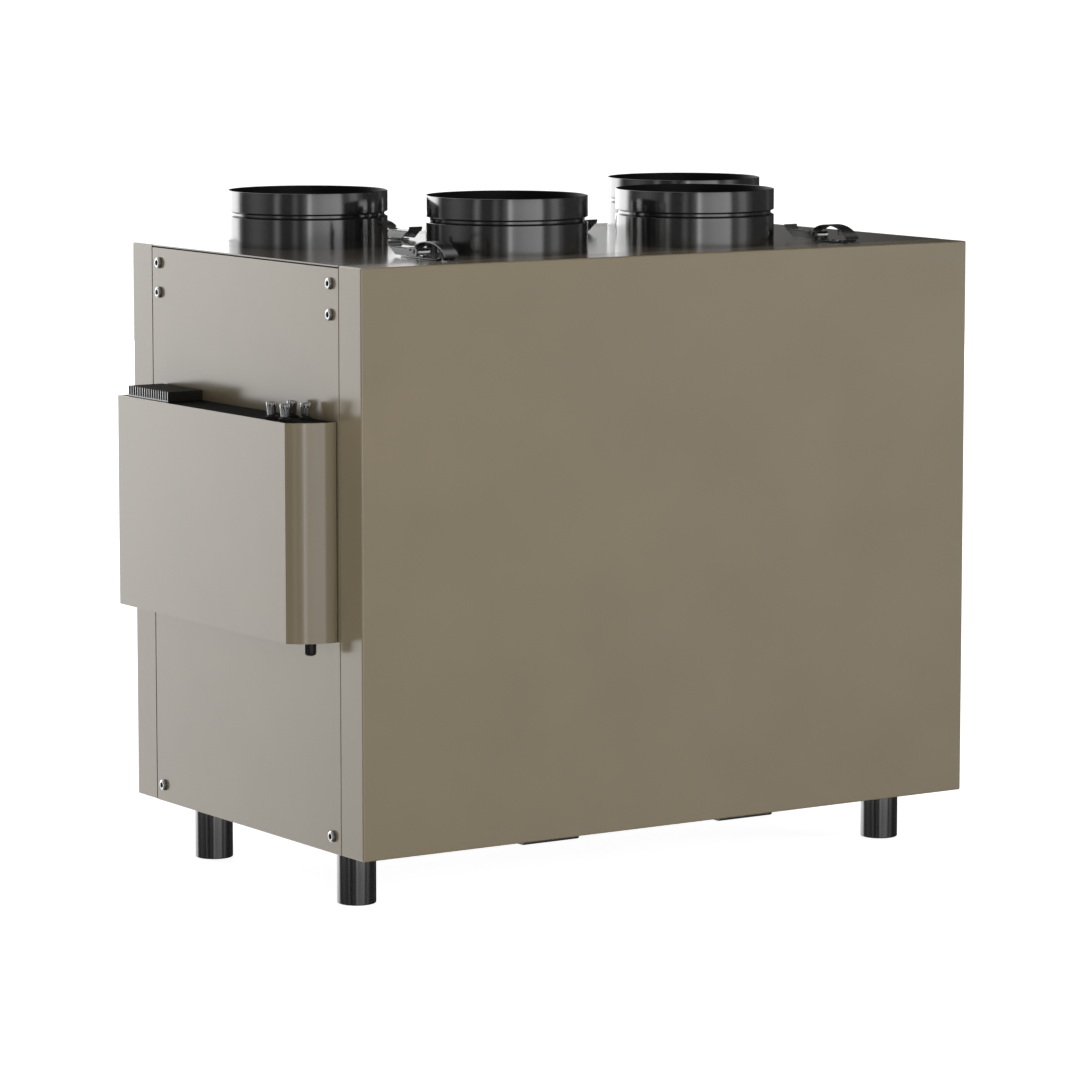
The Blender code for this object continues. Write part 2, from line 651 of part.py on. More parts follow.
def make_foam_lower(look):
    """Moulded lower half: floor, side walls, the shelves that grip the exchanger, and its plinth."""
    right = [(WALL_X, 0.0033), (WALL_X, ROOF_BOTTOM - GAP), (CHAMBER_X, ROOF_BOTTOM - GAP), (CHAMBER_X, SHELF_TOP),
             (EXCHANGER_HALF_WIDTH + GAP, SHELF_TOP), (EXCHANGER_HALF_WIDTH + GAP, SHELF_BOTTOM),
             (CHAMBER_X, SHELF_BOTTOM), (CHAMBER_X, FLOOR_TOP), (PLINTH_X, FLOOR_TOP), (PLINTH_X, PLINTH_TOP)]
    section = right + [(-x, z) for x, z in reversed(right)]
    bm = bmesh.new()
    add_prism(bm, section, BODY_FRONT, BODY_BACK, "Y")
    core = part("foam_core_lower", bm, look)
    ducts = bmesh.new()
    for side in (-1, 1):
        x = sorted((side * (DUCT_INNER_X + DUCT_WALL), side * CHAMBER_X * 0.9999))
        add_box(ducts, tuple(x), (DUCT_WALL, 0.2255), (SHELF_BOTTOM - 0.01, SHELF_TOP + 0.01))
    combine(core, ducts, "DIFFERENCE")
    drain = bmesh.new()
    add_rod(drain, DRAIN_RADIUS + GAP, -0.01, PLINTH_TOP + 0.01, 24)
    combine(core, drain, "DIFFERENCE")
    stop = bmesh.new()
    add_box(stop, (PLINTH_X - 0.004, 0.168), (CHANNEL_Y, 0.2265), (FLOOR_TOP - 0.005, 0.170))
    combine(core, stop, "UNION")


def make_foam_upper(look):
    """Moulded upper half: a roof with four round air ways, a dividing wall and two duct walls."""
    top = CASING_HEIGHT - 0.0041
    divider = 0.012
    section = [(-WALL_X, top), (-WALL_X, ROOF_BOTTOM), (-divider, ROOF_BOTTOM), (-divider, 0.4203),
               (divider, 0.4203), (divider, ROOF_BOTTOM), (WALL_X, ROOF_BOTTOM), (WALL_X, top)]
    bm = bmesh.new()
    add_prism(bm, section, BODY_FRONT, BODY_BACK, "Y")
    core = part("foam_core_upper", bm, look)
    ways = bmesh.new()
    for x, y in SPIGOTS.values():
        add_rod(ways, SPIGOT_RADIUS - 0.001, ROOF_BOTTOM - 0.02, top + 0.02, 32, centre=(x, y, 0.0))
    combine(core, ways, "DIFFERENCE")
    walls = bmesh.new()
    outer = CHAMBER_X - GAP
    inner = DUCT_INNER_X
    for side in (-1, 1):
        plan = [(side * outer, 0.0), (side * inner, 0.0), (side * inner, 0.2265),
                (side * (inner + DUCT_WALL), 0.2265), (side * (inner + DUCT_WALL), DUCT_WALL),
                (side * outer, DUCT_WALL)]
        add_prism(walls, plan, SHELF_TOP + GAP, ROOF_BOTTOM + 0.004, "Z")
    combine(core, walls, "UNION")
    stop = bmesh.new()
    add_box(stop, (-0.165, 0.004 - divider), (CHANNEL_Y, 0.2265), (0.4203, ROOF_BOTTOM + 0.003))
    combine(core, stop, "UNION")


def make_exchanger(look):
    """Six-sided plate pack that lies along Y between the shelves."""
    z = EXCHANGER_Z
    outline = [(EXCHANGER_HALF_WIDTH, z), (EXCHANGER_FLAT, z + EXCHANGER_HALF_HEIGHT),
               (-EXCHANGER_FLAT, z + EXCHANGER_HALF_HEIGHT), (-EXCHANGER_HALF_WIDTH, z),
               (-EXCHANGER_FLAT, z - EXCHANGER_HALF_HEIGHT), (EXCHANGER_FLAT, z - EXCHANGER_HALF_HEIGHT)]
    bm = bmesh.new()
    add_prism(bm, outline, -0.2255, EXCHANGER_REAR, "Y")
    part("heat_exchanger_core", bm, look)


def make_filter(name, side, look):
    """A flat pleated cassette on one upper face of the exchanger, with a pull tab at its front."""
    middle = Vector((side * (EXCHANGER_HALF_WIDTH + EXCHANGER_FLAT) / 2, EXCHANGER_Z + EXCHANGER_HALF_HEIGHT / 2))
    normal = Vector((side, 1.0)).normalized()
    along = Vector((side, -1.0)).normalized()
    centre = middle + normal * (FILTER_THICKNESS / 2 + 0.0015)

    def rectangle(half_length, half_thickness):
        corners = ((-1, -1), (1, -1), (1, 1), (-1, 1))
        return [tuple(centre + along * half_length * a + normal * half_thickness * b) for a, b in corners]

    bm = bmesh.new()
    add_prism(bm, rectangle(FILTER_LENGTH / 2, FILTER_THICKNESS / 2), -0.2155, EXCHANGER_REAR, "Y")
    cassette = part(name, bm, look)
    tab = bmesh.new()
    add_prism(tab, rectangle(0.025, 0.0015), -0.2255, -0.2105, "Y")
    combine(cassette, tab, "UNION")


def make_condensate_parts(tray_look, pipe_look):
    bm = bmesh.new()
    top = EXCHANGER_Z - EXCHANGER_HALF_HEIGHT - GAP
    bottom = PLINTH_TOP + GAP
    add_box(bm, (-0.158, 0.158), (-0.2245, 0.148), (bottom, top))
    tray = part("condensate_tray", bm, tray_look)
    basins = bmesh.new()
    for side in (-1, 1):
        add_box(basins, tuple(sorted((side * 0.046, side * 0.155))), (-0.2215, 0.145), (bottom + 0.0025, top + 0.01))
    combine(tray, basins, "DIFFERENCE")
    link = bmesh.new()
    add_box(link, (-0.060, 0.060), (-0.010, 0.010), (bottom + 0.0026, bottom + 0.012))
    combine(tray, link, "DIFFERENCE")
    outlet = bmesh.new()
    add_rod(outlet, DRAIN_BORE - GAP, bottom - 0.01, bottom + 0.006, 24)
    combine(tray, outlet, "DIFFERENCE")

    profile = [(DRAIN_RADIUS, -DRAIN_DROP), (DRAIN_RADIUS, PLINTH_TOP), (DRAIN_BORE, PLINTH_TOP),
               (DRAIN_BORE, -DRAIN_DROP)]
    bm = bmesh.new()
    add_turned(bm, profile, 24, closed=True)
    part("condensate_drain", bm, pipe_look, smooth=True)


def scroll_outline(side, inset, top):
    """Spiral casing with an upward outlet on the outer side, drawn round the fan axis."""
    turns = 24
    points = []
    for step in range(turns + 1):
        angle = math.radians(120.0 - 300.0 * step / turns)
        radius = SCROLL_MIN + (SCROLL_MAX - SCROLL_MIN) * step / turns - inset
        points.append((radius * math.cos(angle), radius * math.sin(angle)))
    tongue = SCROLL_MIN * math.cos(math.radians(120.0)) - inset
    points.append((inset - SCROLL_MAX, top))
    points.append((tongue, top))
    if inset:
        points.append((tongue, SCROLL_MIN * math.sin(math.radians(120.0)) - inset))
    return [(side * (FAN_X - x) if side > 0 else x - FAN_X, FAN_Z + z) for x, z in points]


def make_fan(name, side, scroll_look, motor_look, wheel_look):
    """Scroll, motor and impeller of one fan; side is -1 on the left and 1 on the right."""
    axis = (side * FAN_X, 0.0, FAN_Z)
    rear = FAN_FRONT + FAN_DEPTH
    top = SHELF_BOTTOM - GAP - FAN_Z
    bm = bmesh.new()
    add_prism(bm, scroll_outline(side, 0.0, top), FAN_FRONT, rear, "Y")
    scroll = part(f"{name}_fan_scroll", bm, scroll_look)
    hollow = bmesh.new()
    add_prism(hollow, scroll_outline(side, SCROLL_WALL, top + 0.01), FAN_FRONT + SCROLL_WALL, rear - SCROLL_WALL, "Y")
    combine(scroll, hollow, "DIFFERENCE")
    inlet = bmesh.new()
    add_rod(inlet, INLET_RADIUS, FAN_FRONT - 0.01, FAN_FRONT + 0.01, 32, "Y", axis)
    combine(scroll, inlet, "DIFFERENCE")

    back = rear - SCROLL_WALL - GAP
    bm = bmesh.new()
    profile = [(0.0, back - 0.058), (0.034, back - 0.058), (0.034, back - 0.004), (0.050, back - 0.004),
               (0.050, back), (0.0, back)]
    add_turned(bm, profile, 28, "Y", axis)
    part(f"{name}_fan_motor", bm, motor_look, smooth=True)

    disc = back - 0.021
    cap = back - 0.062
    shroud = FAN_FRONT + 0.010
    bm = bmesh.new()
    profile = [(0.0, cap), (0.038, cap), (0.038, disc - 0.003), (IMPELLER_RADIUS, disc - 0.003),
               (IMPELLER_RADIUS, disc), (0.036, disc), (0.036, cap + 0.003), (0.0, cap + 0.003)]
    add_turned(bm, profile, 32, "Y", axis)
    wheel = part(f"{name}_fan_impeller", bm, wheel_look, axis, smooth=True)
    blades = bmesh.new()
    for number in range(BLADES):
        turn = 2 * math.pi * number / BLADES
        line = []
        for step in range(5):
            radius = 0.044 + (IMPELLER_RADIUS - 0.001 - 0.044) * step / 4
            angle = turn + side * 0.62 * step / 4
            line.append(Vector((axis[0] + radius * math.cos(angle), axis[2] + radius * math.sin(angle))))
        add_prism(blades, strap_outline(line, 0.002), shroud + 0.001, disc - 0.001, "Y")
    combine(wheel, blades, "UNION")
    ring = bmesh.new()
    add_turned(ring, [(0.052, shroud), (IMPELLER_RADIUS, shroud), (IMPELLER_RADIUS, shroud + 0.0025),
                      (0.052, shroud + 0.0025)], 32, "Y", axis, closed=True)
    combine(wheel, ring, "UNION")


def make_bypass(flap_look, actuator_look):
    """A butterfly flap over the channel behind the exchanger, and the actuator that turns it."""
    centre = (0.088, 0.1895, 0.430)
    bm = bmesh.new()
    add_box(bm, (0.016, 0.161), (centre[1] - 0.033, centre[1] + 0.033), (centre[2] - 0.002, centre[2] + 0.002))
    flap = part("bypass_flap", bm, flap_look, centre)
    shaft = bmesh.new()
    add_rod(shaft, 0.004, 0.0145, 0.1645, 12, "X", (0.0, centre[1], centre[2]))
    combine(flap, shaft, "UNION")
    bm = bmesh.new()
    add_box(bm, (0.1655, DUCT_INNER_X - GAP), (centre[1] - 0.024, centre[1] + 0.024), (0.406, 0.454))
    part("bypass_actuator", bm, actuator_look)


def build():
    clear_scene()
    unit = bpy.data.objects.new("unit", None)
    bpy.context.scene.collection.objects.link(unit)
    unit.location = ((BOX_DEPTH - SCREW_HEAD_HEIGHT) / 2, 0.0, FOOT_HEIGHT)

    paint = material("metallic_paint", (0.32, 0.30, 0.26), 0.38, 0.55)
    dark_paint = material("dark_top_paint", (0.10, 0.098, 0.092), 0.24, 0.60)
    black_steel = material("black_painted_steel", (0.012, 0.012, 0.012), 0.28, 0.20)
    black_latch = material("black_latch_steel", (0.016, 0.016, 0.016), 0.34, 0.30)
    rubber = material("black_foot", (0.012, 0.012, 0.012), 0.42, 0.0)
    stainless = material("stainless_screw", (0.62, 0.61, 0.59), 0.28, 1.0)
    black_plastic = material("black_plastic", (0.010, 0.010, 0.010), 0.32, 0.0)
    anodised = material("black_anodised_aluminium", (0.035, 0.035, 0.037), 0.34, 0.85)
    foam = material("grey_foam", (0.09, 0.09, 0.09), 0.92, 0.0)
    plates = material("exchanger_plates", (0.55, 0.57, 0.60), 0.35, 0.2)
    fleece = material("filter_fleece", (0.80, 0.79, 0.74), 0.95, 0.0)
    galvanised = material("galvanised_steel", (0.45, 0.46, 0.47), 0.45, 0.9)
    board = material("circuit_board", (0.01, 0.14, 0.05), 0.5, 0.0)
    wheel = material("impeller_plastic", (0.06, 0.07, 0.08), 0.45, 0.0)

    make_base_tray(black_steel)
    make_top_panel(dark_paint)
    make_side_panels(paint)
    make_side_screws(stainless)
    make_cover("front_cover", -1, paint, foam)
    make_cover("rear_cover", 1, paint, foam)
    make_feet(rubber)
    make_spigots(black_steel)
    make_latches(black_latch)
    plate_top = make_control_box(paint, black_plastic, board)
    make_heat_sink(anodised, plate_top)
    make_glands(black_plastic, plate_top)
    make_service_button(black_plastic)
    make_foam_lower(foam)
    make_foam_upper(foam)
    make_exchanger(plates)
    make_filter("extract_filter", -1, fleece)
    make_filter("supply_filter", 1, fleece)
    make_condensate_parts(black_plastic, black_plastic)
    make_fan("supply", -1, galvanised, black_steel, wheel)
    make_fan("exhaust", 1, galvanised, black_steel, wheel)
    make_bypass(wheel, black_plastic)


build()
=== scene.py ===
"""Looks of the heat recovery ventilation unit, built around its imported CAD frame. Metres, +Z up."""
import json
import math

import bmesh
import bpy
from mathutils import Matrix, Vector


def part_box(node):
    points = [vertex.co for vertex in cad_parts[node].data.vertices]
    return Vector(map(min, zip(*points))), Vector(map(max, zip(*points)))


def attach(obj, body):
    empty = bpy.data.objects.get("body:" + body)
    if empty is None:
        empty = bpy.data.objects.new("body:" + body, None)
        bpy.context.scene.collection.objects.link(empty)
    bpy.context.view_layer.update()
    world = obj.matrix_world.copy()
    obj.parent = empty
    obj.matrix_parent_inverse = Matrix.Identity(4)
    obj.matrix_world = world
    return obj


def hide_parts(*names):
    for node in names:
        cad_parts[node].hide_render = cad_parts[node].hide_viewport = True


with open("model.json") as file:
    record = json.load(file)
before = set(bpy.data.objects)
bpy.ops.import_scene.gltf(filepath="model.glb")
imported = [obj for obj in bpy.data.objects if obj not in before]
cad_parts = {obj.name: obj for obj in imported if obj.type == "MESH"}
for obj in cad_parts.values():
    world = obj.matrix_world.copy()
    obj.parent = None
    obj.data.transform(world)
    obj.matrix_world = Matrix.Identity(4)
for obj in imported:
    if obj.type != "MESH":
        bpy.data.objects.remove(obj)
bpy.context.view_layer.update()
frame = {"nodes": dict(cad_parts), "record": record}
nodes = frame["nodes"]
record = frame["record"]


# ---- node helpers ----

def fill_ramp(ramp, stops):
    """Gives a colour ramp the stops (position, (red, green, blue))."""
    while len(ramp.elements) < len(stops):
        ramp.elements.new(0.5)
    for element, (position, colour) in zip(ramp.elements, stops):
        element.position = position
        element.color = (*colour, 1.0)


class Shader:
    """A small builder for one material's node tree, in object coordinates (metres)."""

    def __init__(self, name):
        self.material = bpy.data.materials.new(name)
        self.material.use_nodes = True
        self.tree = self.material.node_tree
        self.shader = self.tree.nodes["Principled BSDF"]
        self.place = self.node("ShaderNodeTexCoord").outputs["Object"]

    def node(self, kind, **settings):
        made = self.tree.nodes.new(kind)
        for key, value in settings.items():
            setattr(made, key, value)
        return made

    def link(self, source, target):
        self.tree.links.new(source, target)

    def value(self, name, amount):
        """Sets a constant on the shader's own socket."""
        self.shader.inputs[name].default_value = amount

    def stretched(self, scale):
        """Object coordinates scaled along each axis."""
        mapping = self.node("ShaderNodeMapping")
        mapping.inputs["Scale"].default_value = scale
        self.link(self.place, mapping.inputs["Vector"])
        return mapping.outputs["Vector"]

    def noise(self, scale, detail=2.0, rough=0.5, place=None):
        made = self.node("ShaderNodeTexNoise")
        made.inputs["Scale"].default_value = scale
        made.inputs["Detail"].default_value = detail
        made.inputs["Roughness"].default_value = rough
        self.link(place or self.place, made.inputs["Vector"])
        return made.outputs["Fac"]

    def cells(self, scale):
        made = self.node("ShaderNodeTexVoronoi")
        made.inputs["Scale"].default_value = scale
        self.link(self.place, made.inputs["Vector"])
        return made

    def ramp(self, source, stops):
        """Colours along a value between 0 and 1; stops are (position, (red, green, blue))."""
        made = self.node("ShaderNodeValToRGB")
        fill_ramp(made.color_ramp, stops)
        self.link(source, made.inputs["Fac"])
        return made.outputs["Color"]

    def span(self, source, low, high):
        """Stretches a value between 0 and 1 to the range from low to high."""
        made = self.node("ShaderNodeMapRange")
        made.inputs["To Min"].default_value = low
        made.inputs["To Max"].default_value = high
        self.link(source, made.inputs["Value"])
        return made.outputs["Result"]

    def mix(self, factor, first, second, blend="MIX"):
        made = self.node("ShaderNodeMix", data_type="RGBA", blend_type=blend)
        for socket, item in ((made.inputs[0], factor), (made.inputs[6], first), (made.inputs[7], second)):
            if isinstance(item, (int, float)):
                socket.default_value = item
            elif isinstance(item, tuple):
                socket.default_value = (*item, 1.0)
            else:
                self.link(item, socket)
        return made.outputs[2]

    def bump(self, height, strength, distance):
        made = self.node("ShaderNodeBump")
        made.inputs["Strength"].default_value = strength
        made.inputs["Distance"].default_value = distance
        self.link(height, made.inputs["Height"])
        self.link(made.outputs["Normal"], self.shader.inputs["Normal"])

    def colour(self, source):
        self.link(source, self.shader.inputs["Base Color"])

    def rough(self, source):
        self.link(source, self.shader.inputs["Roughness"])


def metallic_paint(name, tint, roughness, grain):
    """Metallic powder paint: tinted flakes, fine orange peel, thin clear layer."""
    s = Shader(name)
    flake = s.cells(3400.0)
    sparkle = s.span(flake.outputs["Color"], 1.0 - grain, 1.0 + grain)
    cloud = s.noise(9.0, 3.0)
    light = tuple(min(c * 1.035, 1.0) for c in tint)
    dark = tuple(c * 0.965 for c in tint)
    base = s.ramp(cloud, [(0.3, dark), (0.7, light)])
    s.colour(s.mix(1.0, base, s.ramp(sparkle, [(0.0, (0.0, 0.0, 0.0)), (1.0, (1.0, 1.0, 1.0))]), "MULTIPLY"))
    s.rough(s.span(s.noise(160.0, 3.0), roughness - 0.012, roughness + 0.012))
    s.value("IOR", 2.3)
    s.bump(s.noise(420.0, 2.0), 0.022, 0.0003)
    return s.material


def black_metal(name, shade, roughness, streak):
    """Black lacquered steel, faintly drawn along its height."""
    s = Shader(name)
    drawn = s.noise(60.0, 4.0, 0.6, s.stretched((6.0, 6.0, 0.35)))
    s.colour(s.ramp(drawn, [(0.25, (shade * 0.75,) * 3), (0.75, (shade * 1.35,) * 3)]))
    s.rough(s.span(s.noise(700.0, 3.0), roughness - streak, roughness + streak))
    s.value("IOR", 2.75)
    s.bump(s.noise(900.0, 2.0), 0.06, 0.0002)
    return s.material


def black_moulding(name, shade, roughness, index=1.5):
    """Moulded black plastic or rubber with a fine erosion grain."""
    s = Shader(name)
    grain = s.noise(1500.0, 2.0)
    s.colour(s.ramp(s.noise(40.0, 3.0), [(0.3, (shade * 0.8,) * 3), (0.7, (shade * 1.2,) * 3)]))
    s.rough(s.span(grain, roughness - 0.05, roughness + 0.05))
    s.value("IOR", index)
    s.bump(grain, 0.12, 0.0001)
    return s.material


def bare_metal(name, tint, roughness, metallic=1.0):
    """Bare or anodised metal with a fine satin surface."""
    s = Shader(name)
    lines = s.noise(900.0, 3.0, 0.6)
    s.colour(s.ramp(lines, [(0.3, tuple(c * 0.88 for c in tint)), (0.7, tint)]))
    s.rough(s.span(lines, roughness - 0.04, roughness + 0.06))
    s.value("Metallic", metallic)
    s.bump(lines, 0.05, 0.0001)
    return s.material


def foam_beads(name, shade):
    """Expanded bead foam: packed cells, each darker towards its rim as painted shade in the seams between
    them.
    """
    s = Shader(name)
    beads = s.cells(260.0)
    edge = beads.outputs["Distance"]
    # Darker towards each bead's rim: painted shade in the seams between beads.
    seam_shade = s.ramp(edge, [(0.25, (shade * 1.25,) * 3), (0.85, (shade * 0.55,) * 3)])
    each = s.ramp(beads.outputs["Color"], [(0.0, (shade * 0.6,) * 3), (1.0, (shade * 1.5,) * 3)])
    s.colour(s.mix(0.35, seam_shade, each))
    s.value("Roughness", 0.85)
    s.value("Specular IOR Level", 0.25)
    s.bump(edge, 0.5, -0.0008)
    return s.material


def galvanised(name):
    """Galvanised sheet with its zinc spangle."""
    s = Shader(name)
    spangle = s.cells(90.0)
    s.colour(s.ramp(spangle.outputs["Color"], [(0.0, (0.36, 0.37, 0.38)), (1.0, (0.58, 0.59, 0.60))]))
    s.rough(s.span(spangle.outputs["Color"], 0.34, 0.50))
    s.value("Metallic", 0.9)
    return s.material


def plate_stack(name):
    """Edges of the exchanger's thin plates: fine bands along the block."""
    s = Shader(name)
    film = s.noise(35.0, 3.0, 0.5, s.stretched((1.0, 12.0, 1.0)))
    s.colour(s.ramp(film, [(0.3, (0.50, 0.53, 0.56)), (0.7, (0.66, 0.69, 0.72))]))
    s.rough(s.span(film, 0.28, 0.42))
    s.bump(s.noise(240.0, 2.0), 0.2, 0.0004)
    return s.material


def pleats(name):
    """Filter fleece: fibres over soft bands."""
    s = Shader(name)
    wave = s.node("ShaderNodeTexWave", bands_direction="Y")
    wave.inputs["Scale"].default_value = 9.0
    s.link(s.place, wave.inputs["Vector"])
    fibre = s.noise(1400.0, 4.0, 0.7)
    s.colour(s.mix(0.3, s.ramp(wave.outputs["Fac"], [(0.0, (0.66, 0.65, 0.61)), (1.0, (0.86, 0.85, 0.80))]),
                   s.ramp(fibre, [(0.3, (0.5, 0.5, 0.47)), (0.7, (0.9, 0.9, 0.86))])))
    s.value("Roughness", 0.95)
    s.bump(fibre, 0.3, 0.0003)
    return s.material


def white_moulding(name):
    """Off-white moulded plastic."""
    s = Shader(name)
    s.colour(s.ramp(s.noise(60.0, 3.0), [(0.3, (0.62, 0.62, 0.60)), (0.7, (0.70, 0.70, 0.68))]))
    s.rough(s.span(s.noise(900.0, 2.0), 0.42, 0.55))
    s.bump(s.noise(1200.0, 2.0), 0.1, 0.0001)
    return s.material


def board(name):
    """Circuit board lacquer over a grid of tracks."""
    s = Shader(name)
    tracks = s.node("ShaderNodeTexBrick")
    tracks.inputs["Scale"].default_value = 60.0
    s.link(s.place, tracks.inputs["Vector"])
    s.colour(s.ramp(tracks.outputs["Fac"], [(0.0, (0.006, 0.10, 0.035)), (1.0, (0.02, 0.20, 0.08))]))
    s.value("Roughness", 0.4)
    return s.material


paint = metallic_paint("metallic_paint", (0.150, 0.121, 0.074), 0.21, 0.05)
# The casing paint a tenth darker, and less rough, for the control box: the darker tint is painted shade.
shaded_box_paint = metallic_paint("control_box_paint_shaded", (0.135, 0.108, 0.066), 0.15, 0.05)
# The casing paint at half its tint for the top panel: painted shade for the weaker light from above.
shaded_top_paint = metallic_paint("top_panel_paint_shaded", (0.075, 0.062, 0.045), 0.17, 0.05)
spigot_black = black_metal("black_duct_steel", 0.006, 0.13, 0.03)
latch_black = black_metal("black_latch_steel", 0.008, 0.20, 0.05)
# Near-black for the tray: partly its dark paint, partly painted shade of the underside under the casing.
tray_black_and_shade = black_metal("black_tray_steel_and_shade", 0.012, 0.4, 0.05)
foot_black = black_moulding("black_foot", 0.006, 0.17, 3.1)
plate_black = black_moulding("black_plate", 0.002, 0.80, 1.2)
# A darker, duller black for the collars' inner walls: painted shade inside the ducts.
duct_inside_shade = black_moulding("black_duct_inside_shaded", 0.003, 0.45, 1.3)
gloss_black = black_moulding("black_gloss_plastic", 0.006, 0.12)
gland_base = black_moulding("black_gland_base", 0.004, 0.45)
gland_metal = bare_metal("black_chrome", (0.62, 0.62, 0.63), 0.16)
# Pale and mostly diffuse so the steel rod shows white under the arch: painted highlight.
rod_steel_painted_highlight = bare_metal("rod_steel_painted_highlight", (0.90, 0.90, 0.89), 0.38, 0.25)
rubber = black_moulding("black_rubber", 0.010, 0.60)
# Black for the rim and socket of the steel screws: painted shade.
screw_shade_black = black_metal("black_screw_steel_shaded", 0.005, 0.35, 0.04)
sink_black = bare_metal("black_anodised", (0.085, 0.080, 0.072), 0.40)
sawn_metal = bare_metal("sawn_aluminium", (0.90, 0.90, 0.90), 0.42, 0.6)
pin_steel = bare_metal("pin_steel", (0.10, 0.10, 0.10), 0.25)
steel = bare_metal("stainless_steel", (0.85, 0.85, 0.84), 0.30)
foam = foam_beads("grey_foam", 0.055)
zinc = galvanised("galvanised_steel")
stack = plate_stack("exchanger_plates")
fleece = pleats("filter_fleece")
white_plastic = white_moulding("filter_frame")
green = board("circuit_board")
wheel = black_moulding("impeller_plastic", 0.05, 0.4)

finishes = {
    "metallic_paint": paint, "dark_top_paint": paint, "black_painted_steel": spigot_black,
    "black_latch_steel": latch_black, "black_foot": foot_black, "stainless_screw": steel,
    "black_plastic": gloss_black, "black_anodised_aluminium": sink_black, "grey_foam": foam,
    "exchanger_plates": stack, "filter_fleece": fleece, "galvanised_steel": zinc,
    "circuit_board": green, "impeller_plastic": wheel,
}
special = {"base_tray": tray_black_and_shade, "control_box_top_plate": plate_black, "top_panel": shaded_top_paint}


def set_finish(obj, look):
    obj.data.materials.clear()
    obj.data.materials.append(look)


for entry in record["subparts"]:
    name = entry["node"]
    set_finish(nodes[name], special.get(name, finishes[entry["material_slot"]]))


# ---- mesh helpers ----

MM = Matrix.Scale(0.001, 4)             # for pieces drawn in millimetres
SMOOTH_BELOW = math.radians(34)         # sharper edges are bevelled or shaded flat
top_low, top_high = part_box("top_panel")
MIDDLE_X = (top_low.x + top_high.x) / 2
HALF_WIDTH = (top_high.x - top_low.x) / 2
TOP = top_high.z
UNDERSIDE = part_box("left_side_panel")[0].z
COVER_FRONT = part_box("front_cover")[0].y
COVER_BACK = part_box("rear_cover")[1].y
SPIGOTS = ("duct_spigot_front_left", "duct_spigot_front_right",
           "duct_spigot_rear_left", "duct_spigot_rear_right")


def add_box(bm, x, y, z):
    """A closed box between the pairs of limits x, y and z."""
    centre = Vector(((x[0] + x[1]) / 2, (y[0] + y[1]) / 2, (z[0] + z[1]) / 2))
    size = (x[1] - x[0], y[1] - y[0], z[1] - z[0], 1.0)
    bmesh.ops.create_cube(bm, size=1.0, matrix=Matrix.Translation(centre) @ Matrix.Diagonal(size))


def add_prism(bm, outline, start, end, axis):
    """The closed 2-D outline pushed from start to end along axis."""
    def place(point, level):
        a, b = point
        return {"X": (level, a, b), "Y": (a, level, b), "Z": (a, b, level)}[axis]

    verts = [bm.verts.new(place(point, start)) for point in outline]
    face = bm.faces.new(verts)
    pushed = bmesh.ops.extrude_face_region(bm, geom=[face])
    moved = [item for item in pushed["geom"] if isinstance(item, bmesh.types.BMVert)]
    shift = Vector(place((0.0, 0.0), end)) - Vector(place((0.0, 0.0), start))
    bmesh.ops.translate(bm, verts=moved, vec=shift)


def add_rings(bm, rings, closed=False, look_from=None):
    """Rings of equally many points joined into a skin; open ends are capped.

    look_from lists (ring number, material index): faces from that ring on take that material.
    """
    rows = [[bm.verts.new(point) for point in ring] for ring in rings]
    joined = list(zip(rows, rows[1:]))
    if closed:
        joined.append((rows[-1], rows[0]))
    for number, (low, high) in enumerate(joined):
        index = 0
        for start, chosen in look_from or ():
            if number >= start:
                index = chosen
        for k in range(len(low)):
            n = (k + 1) % len(low)
            face = bm.faces.new((low[k], low[n], high[n], high[k]))
            face.material_index = index
    if not closed:
        bm.faces.new(rows[0][::-1])
        last = bm.faces.new(rows[-1])
        last.material_index = index


def circle(radius, height, steps=96, shape=None):
    """One ring of points round Z; shape(angle) scales its radius."""
    points = []
    for k in range(steps):
        angle = 2 * math.pi * k / steps
        reach = radius * (shape(angle) if shape else 1.0)
        points.append((reach * math.cos(angle), reach * math.sin(angle), height))
    return points


def hexagon(angle):
    """Radius of a hexagon whose corners are on the unit circle."""
    return math.cos(math.pi / 6) / math.cos(angle % (math.pi / 3) - math.pi / 6)


def flutes(count, depth):
    """Radius of a round bar with count sharp grooves."""
    return lambda angle: 1.0 - depth * (0.5 - 0.5 * math.cos(count * angle)) ** 3


def add_lathe(bm, profile, steps=96, closed=False, look_from=None):
    """The profile of (radius, height) turned round Z."""
    add_rings(bm, [circle(radius, height, steps) for radius, height in profile], closed, look_from)


def arc(centre, radius, start, end, steps=6):
    """Points of an arc, angles in degrees, both ends included."""
    angles = [math.radians(start + (end - start) * step / steps) for step in range(steps + 1)]
    return [(centre[0] + radius * math.cos(a), centre[1] + radius * math.sin(a)) for a in angles]


def strap_outline(points, thickness):
    """A closed outline of constant thickness along the line through points."""
    left, right = [], []
    for index, point in enumerate(points):
        before = points[max(index - 1, 0)]
        after = points[min(index + 1, len(points) - 1)]
        along = (Vector(after) - Vector(before)).normalized()
        across = Vector((-along.y, along.x)) * thickness / 2
        left.append(tuple(Vector(point) + across))
        right.append(tuple(Vector(point) - across))
    return left + right[::-1]


def curve_points(start, rise, fall, end, steps):
    """Points of a cubic curve between start and end."""
    points = []
    for step in range(steps + 1):
        t = step / steps
        u = 1.0 - t
        points.append(tuple(u ** 3 * Vector(start) + 3 * u * u * t * Vector(rise)
                            + 3 * u * t * t * Vector(fall) + t ** 3 * Vector(end)))
    return points


def bake(obj):
    """Keeps the finished shape as the object's own mesh."""
    graph = bpy.context.evaluated_depsgraph_get()
    finished = bpy.data.meshes.new_from_object(obj.evaluated_get(graph))
    tools = [modifier.object for modifier in obj.modifiers if modifier.type == "BOOLEAN"]
    obj.modifiers.clear()
    obj.data = finished
    for tool in tools:
        bpy.data.objects.remove(tool, do_unlink=True)


